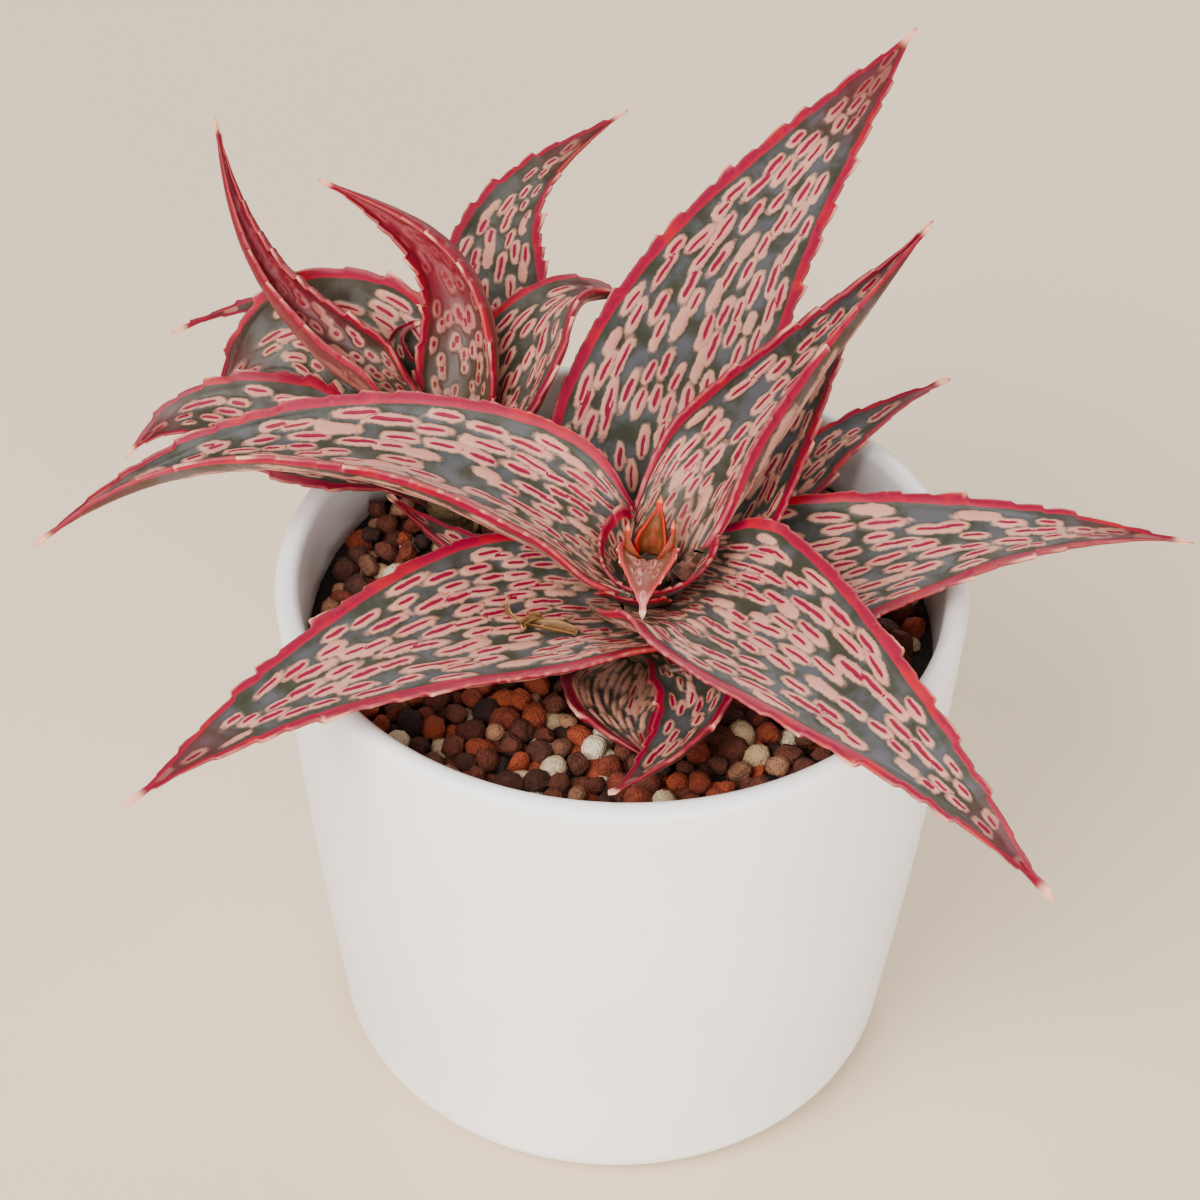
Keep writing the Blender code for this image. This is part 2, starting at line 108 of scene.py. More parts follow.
@dataclass(frozen=True)
class Rosette:
    """A growing point, whose upright axis may lean toward an azimuth (degrees)."""

    crown: Place
    lean: float = 0.0
    toward: float = 0.0

    def turn(self) -> Array:
        """Return the rotation from the rosette's own frame to the object's.

        It turns by lean about the level axis square to toward.

        Returns:
            1 + sin(lean) K + (1 - cos(lean)) K^2, with K the axis as a cross product.
        """
        h, t = math.radians(self.toward), math.radians(self.lean)
        k = np.array([-math.sin(h), math.cos(h), 0.0])
        cross = np.array([[0, -k[2], k[1]], [k[2], 0, -k[0]], [-k[1], k[0], 0]])
        return np.eye(3) + math.sin(t) * cross + (1 - math.cos(t)) * cross @ cross

    def out(self, points: Array) -> Array:
        """Return points of the rosette's frame in the object's frame."""
        return points @ self.turn().T + np.array(self.crown)

    def back(self, point: Place | Array) -> Array:
        """Return a point of the object's frame in the rosette's frame."""
        return (np.asarray(point, float) - np.array(self.crown)) @ self.turn()

    def aim(self, vector: Array) -> Array:
        """Return a direction of the object's frame in the rosette's frame."""
        return np.asarray(vector, float) @ self.turn()

    def radius(self, points: Array) -> Array:
        """Return how far points of the object's frame lie from the upright axis."""
        own = self.back(points)
        return np.hypot(own[..., 0], own[..., 1])


class Skin(Enum):
    """Which finish a leaf wears; the value names its material."""

    MAIN = "leaf"
    OFFSET = "offset_leaf"
    TALL = "offset_tall_leaf"
    YOUNG = "leaf_young"
    HEART = "leaf_heart"
    DRY = "dry_leaf"


@dataclass(frozen=True)
class Leaf:
    """One leaf: where it starts, where it ends and how its blade is shaped.

    base is its height over the crown and slope its rise over run where it leaves the
    stem, both in the rosette's frame, as is heading. tip, tip_heading and tip_rise
    are in the object's frame. fold is the arc across the blade, in degrees, at the
    base, at 15%, at half and at 90% of its length. roll turns the blade about its
    spine, at half its length and at the tip. Between the two radii of cup the blade
    leaves the cone that it shares with its neighbours. foot is the share of the width
    that it has at the stem, and stem the radius that it starts from.
    """

    name: str
    on: Rosette
    base: float
    slope: float
    heading: float
    tip: Place
    tip_heading: float
    tip_rise: float
    width: float
    fold: tuple[float, float, float, float]
    pull: tuple[float, float] = (0.35, 0.35)
    roll: tuple[float, float] = (0, 0)
    cup: tuple[float, float] = (12, 24)
    thick: float = 4.5
    widest: float = 0.22
    taper: tuple[float, float] = (1.25, 1.15)
    foot: float = 0.8
    stem: float = 4.0
    skin: Skin = Skin.MAIN


PLANT = Rosette((4, -8, 104))
OFFSET = Rosette((-30, 26, 103.5), 12, 115)

LEAVES = (
    Leaf("leaf_heart", PLANT, -0.1, 2.0, 80, (5.5, -4, 112), 80, 70, 6, (150, 150, 140,
         140), cup=(1, 2), thick=1.6, stem=1.3, skin=Skin.HEART),
    Leaf("leaf_young", PLANT, -0.1, 1.25, -99, (3, -22.6, 105.6), -90, -45, 10, (190, 110,
         70, 70), cup=(3, 7), thick=1.6, stem=1.5, foot=1.1, skin=Skin.YOUNG),
    Leaf("leaf_upright", PLANT, -2.0, 0.9, 56, (48, 40, 134), 38, 35, 22, (300, 170, 200,
         240), pull=(0.36, 0.4), cup=(8, 20), taper=(1.1, 1.2), foot=1.2),
    Leaf("leaf_left", PLANT, -4.4, 0.7, 153, (-91, -5, 102), 200, -37, 27, (240, 110, 120,
         180), pull=(0.38, 0.38), roll=(2, 25), cup=(10, 20), taper=(1.1, 1.2), foot=1.05,
         thick=3.6),
    Leaf("leaf_front_right", PLANT, -6.6, 0.5, -39, (60, -73, 99), -50, -20, 35, (190, 95,
         50, 60), pull=(0.26, 0.3), roll=(17, 10), cup=(11, 19), widest=0.15, taper=(1.05,
         1.2), foot=1.1),
    Leaf("leaf_tucked", PLANT, -8.9, 0.5, 48, (39, 40, 122), 48, 36, 26, (150, 90, 90, 100),
         pull=(0.36, 0.3), thick=2.7, foot=0.75),
    Leaf("leaf_front_left", PLANT, -10.2, 0.45, 207, (-70, -58, 99), 222, -14, 33, (130, 60,
         45, 60), roll=(-6, -8), taper=(1.2, 1.25), foot=1.0),
    Leaf("leaf_back", PLANT, -12.2, 0.4, 93, (48, 88, 141), 50, 26, 36, (125, 48, 55, 80),
         pull=(0.42, 0.38), taper=(1.4, 1.05), foot=0.88),
    Leaf("leaf_right", PLANT, -15.2, 0.38, 9, (89, 2, 101), -8, -4, 34, (120, 60, 60, 80),
         roll=(8, 0), thick=4.0, widest=0.24, taper=(1.1, 1.3), foot=0.9),
    Leaf("leaf_low_right", PLANT, -17.3, 0.17, 54, (54, 44, 100), 30, 2, 17, (120, 60, 60,
         70), thick=2.8, foot=0.65),
    Leaf("leaf_low_left", PLANT, -15.6, 0.2, 160, (-38, 19, 93), 140, 10, 12, (80, 60, 60,
         70), foot=0.5),
    Leaf("leaf_low_front", PLANT, -18.8, 0.06, -113, (4.5, -38, 90), -55, -8, 20, (60, 45,
         45, 60), pull=(0.5, 0.3), thick=2.7, taper=(1.4, 1.0), foot=0.7),
    Leaf("leaf_low_curl", PLANT, -16.2, 0.27, -50, (-1, -52, 96.8), -122, 20, 14, (80, 60,
         80, 90), pull=(0.4, 0.5), thick=2.6, foot=0.6),
    Leaf("offset_heart", OFFSET, -8.6, 1.2, 113, (-34.5, 43.5, 110.5), 5, 10, 11.3, (120,
         110, 120, 130), pull=(0.5, 0.4), cup=(7, 11), thick=1.2, foot=0.61,
         skin=Skin.OFFSET),
    Leaf("offset_curled", OFFSET, -4.6, 1.35, 62, (-50, 54, 131), 168, 22, 18.5, (130, 140,
         190, 230), pull=(0.6, 0.42), cup=(7, 12), thick=2.2, foot=0.77, skin=Skin.TALL),
    Leaf("offset_back", OFFSET, -15.1, 0.98, 67, (-1, 94, 120), 28, 22, 24, (80, 70, 60,
         110), pull=(0.55, 0.5), roll=(8, 0), cup=(8, 14), thick=2.2, widest=0.32,
         foot=0.24, skin=Skin.OFFSET),
    Leaf("offset_tall", OFFSET, -2.0, 1.3, 168, (-68, 60, 138), 120, 78, 18, (180, 200, 250,
         260), pull=(0.4, 0.5), roll=(-45, -35), cup=(7, 12), thick=2.2, widest=0.1,
         taper=(0.95, 1.05), foot=0.9, skin=Skin.TALL),
    Leaf("offset_right", OFFSET, -9.2, 1.15, 16, (0, 46, 114.5), -12, -12, 25, (90, 60, 60,
         80), pull=(0.5, 0.45), roll=(16, -4), cup=(8, 16), thick=2.4, widest=0.3,
         taper=(2.0, 0.9), foot=0.35, skin=Skin.OFFSET),
    Leaf("offset_left", OFFSET, -10.9, 1.0, 120, (-69, 42, 94), 225, -45, 29, (80, 70, 35,
         60), pull=(0.85, 0.45), roll=(-46, -40), cup=(8, 16), thick=1.2, widest=0.42,
         foot=0.25, skin=Skin.OFFSET),
    Leaf("offset_low_left", OFFSET, -14.5, 0.8, 192, (-81, 23.5, 97.5), 214, -38, 20.5, (70,
         60, 60, 80), pull=(0.5, 0.38), roll=(-46, -38), cup=(8, 14), thick=1.7,
         widest=0.44, foot=0.24, skin=Skin.OFFSET),
    Leaf("offset_low_back", OFFSET, -13.4, 0.91, 110, (-76, 51.5, 102), 205, -14, 7, (70,
         70, 60, 80), pull=(0.55, 0.5), cup=(9, 15), thick=0.7, widest=0.45, foot=0.26,
         skin=Skin.OFFSET),
)

BUDS = (
    Leaf("bud_left", PLANT, -0.1, 2.0, 200, (0.6, -8.2, 110), 60, 70, 3.4, (150, 140, 130,
         140), cup=(1, 2), thick=0.9, stem=2.0, skin=Skin.HEART),
    Leaf("bud_right", PLANT, -0.1, 2.0, -20, (7.6, -7.6, 110), 100, 70, 3.4, (150, 140, 130,
         140), cup=(1, 2), thick=0.9, stem=2.0, skin=Skin.HEART),
    Leaf("dry_wisp", Rosette((-6.6, -20.6, 99.1)), 0.2, 0.3, 168, (-17.6, -17.2, 102.6), 60, 50,
         2.6, (120, 150, 170, 180), cup=(0.5, 1), thick=0.5, stem=0.3, skin=Skin.DRY),
    Leaf("dry_curl", Rosette((-12, -18.2, 100.3)), 0.2, 0.5, 200, (-15, -22.6, 102.2), 300, 30,
         1.8, (120, 150, 170, 180), cup=(0.5, 1), thick=0.4, stem=0.3, skin=Skin.DRY),
)


class Blade:
    """The surface of one leaf, by s along it (0 to 1) and a across it (-1 to 1)."""

    SAMPLES = 240
    EDGE_HALF = 0.45                      # mm, the half width that the very tip keeps
    CROWN = 2.2                           # the thickness falls to the edges as 1 - |a|^2.2
    FOLD_AT = (0, 0.15, 0.5, 0.9, 1)      # shares of the length at which fold is given
    ROLL_AT = (0, 0.08, 0.3, 0.55, 1)     # shares of the length at which it has rolled
    EASE = 0.7                            # share of its first roll at the third of them
    FREE = (0.15, 0.4)                    # shares of the length between which it leaves the cone
    THIN = 0.3                            # share of its thickness at the stem
    ALONG, ACROSS = 0.004, 0.02           # steps of s and a that directions are taken over

    def __init__(self, leaf: Leaf) -> None:
        """Trace the spine: a cubic curve from the stem to the tip, with a side direction.

        Args:
            leaf: the leaf.
        """
        self.leaf = leaf
        rise = math.degrees(math.atan(leaf.slope))
        start = np.array([0, 0, leaf.base]) + leaf.stem * direction(leaf.heading, 0)
        tip = leaf.on.back(leaf.tip)
        chord = np.linalg.norm(tip - start)
        p1 = start + leaf.pull[0] * chord * direction(leaf.heading, rise)
        p2 = tip - leaf.pull[1] * chord * leaf.on.aim(direction(leaf.tip_heading, leaf.tip_rise))
        t = np.linspace(0, 1, self.SAMPLES)[:, None]
        self.points = ((1 - t) ** 3 * start + 3 * (1 - t) ** 2 * t * p1
                       + 3 * (1 - t) * t * t * p2 + t ** 3 * tip)
        steps = np.linalg.norm(np.diff(self.points, axis=0), axis=1)
        self.arc = np.concatenate([[0], np.cumsum(steps)])
        self.length = float(self.arc[-1])
        self.tangents = unit(np.gradient(self.points, axis=0))
        self.sides = np.empty_like(self.points)
        side = direction(leaf.heading + 90, 0)
        for i, tangent in enumerate(self.tangents):
            side = side - tangent * side.dot(tangent)
            side = side / np.linalg.norm(side)
            self.sides[i] = side

    def half_width(self, s: Array) -> Array:
        """Return half the blade's width along its arc: a rise to the widest, then a taper.

        Args:
            s: place along the leaf.

        Returns:
            millimetres: width / 2 (1 - x^p)^q past the widest, with x from 0 there to 1.
        """
        leaf = self.leaf
        near = leaf.foot + (1 - leaf.foot) * smooth(s, 0, leaf.widest)
        x = np.clip((s - leaf.widest) / (1 - leaf.widest), 0, 1)
        far = (1 - x ** leaf.taper[0]) ** leaf.taper[1]
        return np.maximum(leaf.width / 2 * np.where(s < leaf.widest, near, far), self.EDGE_HALF)

    def fold(self, s: Array) -> Array:
        """Return the arc across the blade, its four values joined and smoothed.

        Args:
            s: place along the leaf.

        Returns:
            radians, straight between the values and then averaged over a bell window.
        """
        knots, bell = np.linspace(0, 1, 101), 19
        fold = self.leaf.fold
        arc = np.interp(knots, self.FOLD_AT, (*fold, fold[-1]))
        window = np.hanning(bell)[1:-1]
        arc = np.pad(arc, (bell - 3) // 2, mode="edge")
        arc = np.convolve(arc, window / window.sum(), mode="valid")
        return np.radians(np.interp(s, knots, arc))

    def spine(self, s: Array) -> tuple[Array, Array, Array]:
        """Return the spine's points and its side and normal directions.

        Args:
            s: place along the leaf.

        Returns:
            points, sides and normals in the rosette's frame, turned by the roll there.
        """
        at = np.clip(s, 0, 1) * self.length

        def pick(field: Array) -> Array:
            """Return a field of the spine at the lengths asked for."""
            return np.stack([np.interp(at, self.arc, field[:, k]) for k in range(3)], -1)

        tangent = unit(pick(self.tangents))
        side = pick(self.sides)
        side = unit(side - tangent * (side * tangent).sum(-1, keepdims=True))
        normal = np.cross(tangent, side)
        half, end = self.leaf.roll
        roll = np.radians(np.interp(s, self.ROLL_AT, (0, 0, self.EASE * half, half, end)))[..., None]
        return (pick(self.points), side * np.cos(roll) + normal * np.sin(roll),
                normal * np.cos(roll) - side * np.sin(roll))

    def top(self, s: Array, a: Array, bump: Array | float = 0.0) -> Array:
        """Return points of the upper face.

        Across the blade they lie on an arc of angle fold and radius half width over
        half the angle; near the stem their height gives way to the shared cone
        base + slope * (radius - stem).

        Args:
            s: place along the leaf.
            a: place across it.
            bump: millimetres that the margin stands out.

        Returns:
            points in the object's frame.
        """
        leaf = self.leaf
        point, side, normal = self.spine(s)
        half = self.half_width(s)
        angle = self.fold(s) / 2
        reach = half / angle * (1 + bump / half)
        x = reach * np.sin(a * angle)
        y = reach * (1 - np.cos(a * angle))
        q = point + side * x[..., None] + normal * y[..., None]
        out = np.hypot(q[..., 0], q[..., 1])
        cone = leaf.base + leaf.slope * (out - leaf.stem)
        free = 1 - (1 - smooth(out, *leaf.cup)) * (1 - smooth(s, *self.FREE))
        q[..., 2] = (1 - free) * cone + free * q[..., 2]
        return leaf.on.out(q)

    def along(self, s: Array, a: Array) -> Array:
        """Return the direction along the upper face, toward the tip."""
        low, high = np.clip(s - self.ALONG, 0, 1), np.clip(s + self.ALONG, 0, 1)
        return self.top(high, a) - self.top(low, a)

    def across(self, s: Array, a: Array) -> Array:
        """Return the direction across the upper face, toward a = 1."""
        low, high = np.clip(a - self.ACROSS, -1, 1), np.clip(a + self.ACROSS, -1, 1)
        return self.top(s, high) - self.top(s, low)

    def normal(self, s: Array, a: Array) -> Array:
        """Return the upper face's outward normals."""
        return unit(np.cross(self.along(s, a), self.across(s, a)))

    def most(self, s: Array) -> Array:
        """Return how thick the blade is at its middle.

        Args:
            s: place along the leaf.

        Returns:
            millimetres: thin at the stem, full from 30%, and thinner where it is narrow.
        """
        leaf = self.leaf
        half = self.half_width(s)
        depth = leaf.thick * (self.THIN + (1 - self.THIN) * smooth(s, 0.02, 0.3))
        depth = depth * np.clip(half / (leaf.width / 2), 0, 1) ** 0.7
        return np.minimum(depth, 1.4 * half)

    def under(self, s: Array, a: Array) -> Array:
        """Return points of the lower face without its rim."""
        depth = self.most(s) * (1 - np.abs(a) ** self.CROWN)
        return self.top(s, a) - self.normal(s, a) * depth[..., None]


@dataclass(frozen=True)
class SpotPlan:
    """How the raised spots of one face of a leaf lie, in millimetres."""

    row: float = 6.9           # from one band of spots to the next
    lane: float = 2.35         # from one spot to the next across the leaf
    length: tuple[float, float] = (4.8, 8.2)
    width: tuple[float, float] = (1.6, 2.2)
    stagger: float = 2.4
    clear: float = 1.7         # free of spots along each margin
    slit: tuple[float, float] = (0.58, 0.84)  # of the spot's length
    slit_width: tuple[float, float] = (0.45, 0.8)
    bare: float = 0.1          # share of spots that are missing
    plain: float = 0.1         # share of spots without a slit


class Spots:
    """The raised spots on one face of a leaf, each with its slit.

    With d across and e along it from its centre, a spot's level is
    w/2 * (1 - (|2d/w|^p + |2e/l|^p)^(1/p)), which is about the distance in
    millimetres from its edge, positive inside. cut_x and cut_y are the place within
    the slit, in halves of its own width and length.
    """

    FAR = 9.0                  # cut_x and cut_y where there is no slit
    OUTSIDE = -2.0             # pad where there is no spot
    POWER = 2.5
    ENDS = (2.0, 2.5)          # mm without spots at the stem and at the tip
    WAVE, SLIT_WAVE = 0.07, 0.04

    def __init__(self, blade: Blade, plan: SpotPlan, rng: np.random.Generator) -> None:
        """Lay out bands of staggered spots that grow smaller toward stem and tip.

        Args:
            blade: the leaf's surface.
            plan: how its spots lie.
            rng: where each spot's own size and place are drawn from.
        """
        self.blade = blade
        spots: list[tuple[float, ...]] = []
        y, band = self.ENDS[0], 0
        while y < blade.length - self.ENDS[1]:
            half = float(blade.half_width(np.array(y / blade.length)))
            scale = min(1.0, max(0.5, half / 9.0)) ** 0.6 * (0.66 + 0.34 * smooth(y, 6, 26))
            usable = half - min(plan.clear, 0.36 * half)
            count = max(1, round(2 * usable / (plan.lane * scale)))
            for j in range(count - band % 2):
                x = (j + 0.5 + 0.5 * (band % 2) - count / 2) * 2 * usable / count
                x += rng.normal(0, 0.16)
                shift = plan.stagger * scale * ((j + band) % 2 - 0.5) + rng.normal(0, 0.7)
                length = rng.uniform(*plan.length) * scale
                width = rng.uniform(*plan.width) * scale
                slit = length * rng.uniform(*plan.slit)
                slit_width = rng.uniform(*plan.slit_width) * (0.6 + 0.4 * scale)
                if rng.random() < plan.plain:
                    slit_width = 0.0
                drift = rng.normal(0, 0.08)
                lag = rng.normal(0, 0.07) * length
                tint, phase, lean = rng.random(), rng.uniform(0, 6.28), rng.normal(0, 0.05)
                if rng.random() > plan.bare:
                    spots.append((x / half, y + shift, width, length, slit_width, slit,
                                  drift, lag, tint, phase, lean))
            y += plan.row * scale * rng.uniform(0.93, 1.05)
            band += 1
        self.table = spots

    @classmethod
    def none(cls, shape: tuple[int, ...]) -> dict[str, Array]:
        """Return the fields of a face without spots."""
        return {"pad": np.full(shape, cls.OUTSIDE), "tint": np.full(shape, 0.5),
                "cut_x": np.full(shape, cls.FAR), "cut_y": np.full(shape, cls.FAR)}

    def sample(self, s: Array, a: Array) -> dict[str, Array]:
        """Return the nearest spot's level, its tint and the place within its slit.

        Args:
            s: place along the leaf.
            a: place across it, of the same shape.

        Returns:
            pad, tint, cut_x and cut_y, each of that shape.
        """
        shape = s.shape
        s, a = s.ravel(), a.ravel()
        half = self.blade.half_width(s)
        y = s * self.blade.length
        found = self.none(s.shape)
        pad, tint, cut_x, cut_y = found.values()
        for a_i, y_i, w, l, sw, sl, drift, lag, t_i, phase, lean in self.table:
            near = np.flatnonzero(np.abs(y - y_i) < l)
            e = y[near] - y_i
            d = (a[near] - a_i) * half[near] + lean * e
            wave = 1 + self.WAVE * np.sin(1.5 * e + phase)
            level = (np.abs(2 * d / (w * wave)) ** self.POWER
                     + np.abs(2 * e / l) ** self.POWER) ** (1 / self.POWER)
            level = w / 2 * (1 - level)
            wins = level > pad[near]
            at, d, e = near[wins], d[wins], e[wins]
            pad[at], tint[at] = level[wins], t_i
            if sw > 0:
                d = d - drift - self.SLIT_WAVE * np.sin(1.9 * e + phase)
                cut_x[at] = np.clip(2 * d / sw, -self.FAR, self.FAR)
                cut_y[at] = 2 * (e - lag) / sl
            else:
                cut_x[at] = self.FAR
        return {key: values.reshape(shape) for key, values in found.items()}


class MeshSheet:
    """Turns arrays into meshes."""

    @staticmethod
    def link(name: str, data: bpy.types.ID) -> Object:
        """Return a new object of the scene.

        Args:
            name: its name.
            data: the mesh, light or camera that it holds.

        Returns:
            the object.
        """
        obj = bpy.data.objects.new(name, data)
        bpy.context.scene.collection.objects.link(obj)
        return obj

    @staticmethod
    def shade(mesh: bpy.types.Mesh, sharp: float) -> None:
        """Shade a mesh smooth, with edges over an angle in degrees left sharp."""
        mesh.shade_smooth()
        mesh.set_sharp_from_angle(angle=math.radians(sharp))

    @staticmethod
    def mesh(name: str, points: Array, quads: Array, tris: Array,
             layers: dict[str, Array] | None = None, sharp: float = 60.0) -> Object:
        """Return a linked object with a smooth-shaded mesh.

        Args:
            name: the piece's name.
            points: corners in millimetres, one a row.
            quads: four corner numbers a row, seen anticlockwise from outside.
            tris: three corner numbers a row.
            layers: numbers at each corner, by attribute name.
            sharp: the angle in degrees over which an edge stays sharp.

        Returns:
            the object.
        """
        mesh = bpy.data.meshes.new(name)
        mesh.vertices.add(len(points))
        mesh.vertices.foreach_set("co", (points * MM).astype(np.float32).ravel())
        loops = np.concatenate([quads.ravel(), tris.ravel()]).astype(np.int32)
        starts = np.concatenate([np.arange(len(quads)) * 4,
                                 4 * len(quads) + np.arange(len(tris)) * 3])
        mesh.loops.add(len(loops))
        mesh.loops.foreach_set("vertex_index", loops)
        mesh.polygons.add(len(quads) + len(tris))
        mesh.polygons.foreach_set("loop_start", starts.astype(np.int32))
        mesh.update(calc_edges=True)
        for key, values in (layers or {}).items():
            layer = mesh.attributes.new(key, "FLOAT", "POINT")
            layer.data.foreach_set("value", values.astype(np.float32).ravel())
        mesh.validate()
        MeshSheet.shade(mesh, sharp)
        return MeshSheet.link(name, mesh)

    @staticmethod
    def circles(radius: Array, height: Array | float, sides: int) -> Array:
        """Return rings about the z axis: (r_i cos u_k, r_i sin u_k, z_i) for side k of ring i.

        Args:
            radius: each ring's radius.
            height: each ring's height, or one for all.
            sides: how many corners a ring has.

        Returns:
            corners by ring, side and axis.
        """
        turn = np.linspace(0, 2 * math.pi, sides, endpoint=False)
        x, y = radius[:, None] * np.cos(turn), radius[:, None] * np.sin(turn)
        z = np.broadcast_to(np.reshape(height, (-1, 1)), x.shape)
        return np.stack([x, y, z], -1)

    @staticmethod
    def bands(rows: int, ring: int) -> Array:
        """Return the quads between closed rings, where corner j of ring i is i * ring + j.

        Args:
            rows: how many rings there are.
            ring: how many corners a ring has.

        Returns:
            four corner numbers a row.
        """
        j = np.arange(ring)
        n = (j + 1) % ring
        i = np.arange(rows - 1)[:, None] * ring
        return np.stack([i + j, i + n, i + ring + n, i + ring + j], -1).reshape(-1, 4)

    @staticmethod
    def stacked(name: str, rings: Array, low: float, high: float, sharp: float) -> Object:
        """Return a closed solid of rings about the z axis, with a pole at either end.

        Args:
            name: the piece's name.
            rings: corners by ring and side, anticlockwise and up the outside first.
            low: height of the pole that closes the first ring.
            high: height of the pole that closes the last ring.
            sharp: the angle in degrees over which an edge stays sharp.

        Returns:
            the object.
        """
        rows, sides = rings.shape[:2]
        points = np.concatenate([rings.reshape(-1, 3), [[0, 0, low], [0, 0, high]]])
        k = np.arange(sides)
        n = (k + 1) % sides
        last = (rows - 1) * sides
        foot = np.stack([np.full(sides, rows * sides), n, k], -1)
        head = np.stack([last + k, last + n, np.full(sides, rows * sides + 1)], -1)
        return MeshSheet.mesh(name, points, MeshSheet.bands(rows, sides),
                              np.concatenate([foot, head]), sharp=sharp)


class Graph:
    """A node tree under construction."""

    def __init__(self, tree: bpy.types.NodeTree) -> None:
        """Keep the tree that nodes go into."""
        self.tree = tree

    def node(self, kind: str, inputs: dict | None = None, **settings: object) -> bpy.types.Node:
        """Return a new node.

        Args:
            kind: its type.
            inputs: what each input is set to or linked to, by name or number.
            settings: its properties.

        Returns:
            the node.
        """
        node = self.tree.nodes.new(kind)
        for key, value in settings.items():
            setattr(node, key, value)
        for key, value in (inputs or {}).items():
            self.feed(node.inputs[key], value)
        return node

    def feed(self, socket: Socket, value: object) -> None:
        """Link a socket to another, or set its value.

        Args:
            socket: the input.
            value: an output, a colour or a number.
        """
        if isinstance(value, bpy.types.NodeSocket):
            self.tree.links.new(value, socket)
        elif isinstance(value, tuple) and len(value) == 3 and socket.type == "RGBA":
            socket.default_value = (*value, 1.0)
        else:
            socket.default_value = value

    def math(self, operation: str, a: object, b: object = 0.0) -> Socket:
        """Return the result of an operation on two values."""
        return self.node("ShaderNodeMath", {0: a, 1: b}, operation=operation).outputs[0]

    def plus(self, a: object, b: object) -> Socket:
        """Return two values added."""
        return self.math("ADD", a, b)

    def times(self, a: object, b: object) -> Socket:
        """Return two values multiplied."""
        return self.math("MULTIPLY", a, b)

    def step(self, value: object, low: float, high: float) -> Socket:
        """Return a smooth step of a value.

        Args:
            value: the value.
            low: where the step is 0.
            high: where it is 1.

        Returns:
            the step's socket.
        """
        inputs = {"Value": value, "From Min": low, "From Max": high}
        return self.node("ShaderNodeMapRange", inputs,
                         interpolation_type="SMOOTHSTEP").outputs["Result"]

    def mix(self, factor: object, a: object, b: object) -> Socket:
        """Return two colours mixed by a factor."""
        return self.node("ShaderNodeMix", {0: factor, 6: a, 7: b}, data_type="RGBA").outputs[2]

    def length(self, x: Socket, x_scale: float, y: Socket, y_scale: float) -> Socket:
        """Return the root of the sum of two scaled and squared numbers.

        Args:
            x: the first number.
            x_scale: its scale.
            y: the second number.
            y_scale: its scale.

        Returns:
            the result's socket.
        """
        x, y = self.times(x, x_scale), self.times(y, y_scale)
        return self.math("SQRT", self.plus(self.times(x, x), self.times(y, y)))

    def attribute(self, name: str) -> Socket:
        """Return the number that the mesh holds under a name."""
        return self.node("ShaderNodeAttribute", attribute_name=name).outputs["Fac"]

    def where(self) -> Socket:
        """Return the place in the object, in metres."""
        return self.node("ShaderNodeTexCoord").outputs["Object"]

    def noise(self, size: float, detail: float = 2.0, stretch: tuple | None = None) -> Socket:
        """Return noise from 0 to 1 on object coordinates.

        Args:
            size: the size of its features, mm.
            detail: how many finer octaves it has.
            stretch: scales along the three axes, if it is stretched.

        Returns:
            the noise's socket.
        """
        where = self.where()
        if stretch:
            where = self.node("ShaderNodeMapping", {"Vector": where, "Scale": stretch}).outputs[0]
        inputs = {"Vector": where, "Scale": 1 / (size * MM), "Detail": detail}
        return self.node("ShaderNodeTexNoise", inputs).outputs["Fac"]


class Group:
    """A shader node group with named inputs, which puts out colour, roughness and height."""

    OUTPUTS = {"Color": "NodeSocketColor", "Roughness": "NodeSocketFloat",
               "Height": "NodeSocketFloat"}

    def __init__(self, name: str, colors: tuple[str, ...], values: tuple[str, ...]) -> None:
        """Make the empty group.

        Args:
            name: the group's name.
            colors: names of its colour inputs.
            values: names of its number inputs.
        """
        self.tree = bpy.data.node_groups.new(name, "ShaderNodeTree")
        kinds = {**dict.fromkeys(colors, "NodeSocketColor"),
                 **dict.fromkeys(values, "NodeSocketFloat")}
        for key, kind in kinds.items():
            self.tree.interface.new_socket(key, in_out="INPUT", socket_type=kind)
        for key, kind in self.OUTPUTS.items():
            self.tree.interface.new_socket(key, in_out="OUTPUT", socket_type=kind)
        self.graph = Graph(self.tree)
        self.inputs = self.tree.nodes.new("NodeGroupInput").outputs
        self.ends = self.tree.nodes.new("NodeGroupOutput").inputs

    def close(self, *results: Socket) -> bpy.types.NodeTree:
        """Link the group's outputs.

        Args:
            results: its colour, roughness and height.

        Returns:
            the group's tree.
        """
        for key, value in zip(self.OUTPUTS, results):
            self.graph.feed(self.ends[key], value)
        return self.tree


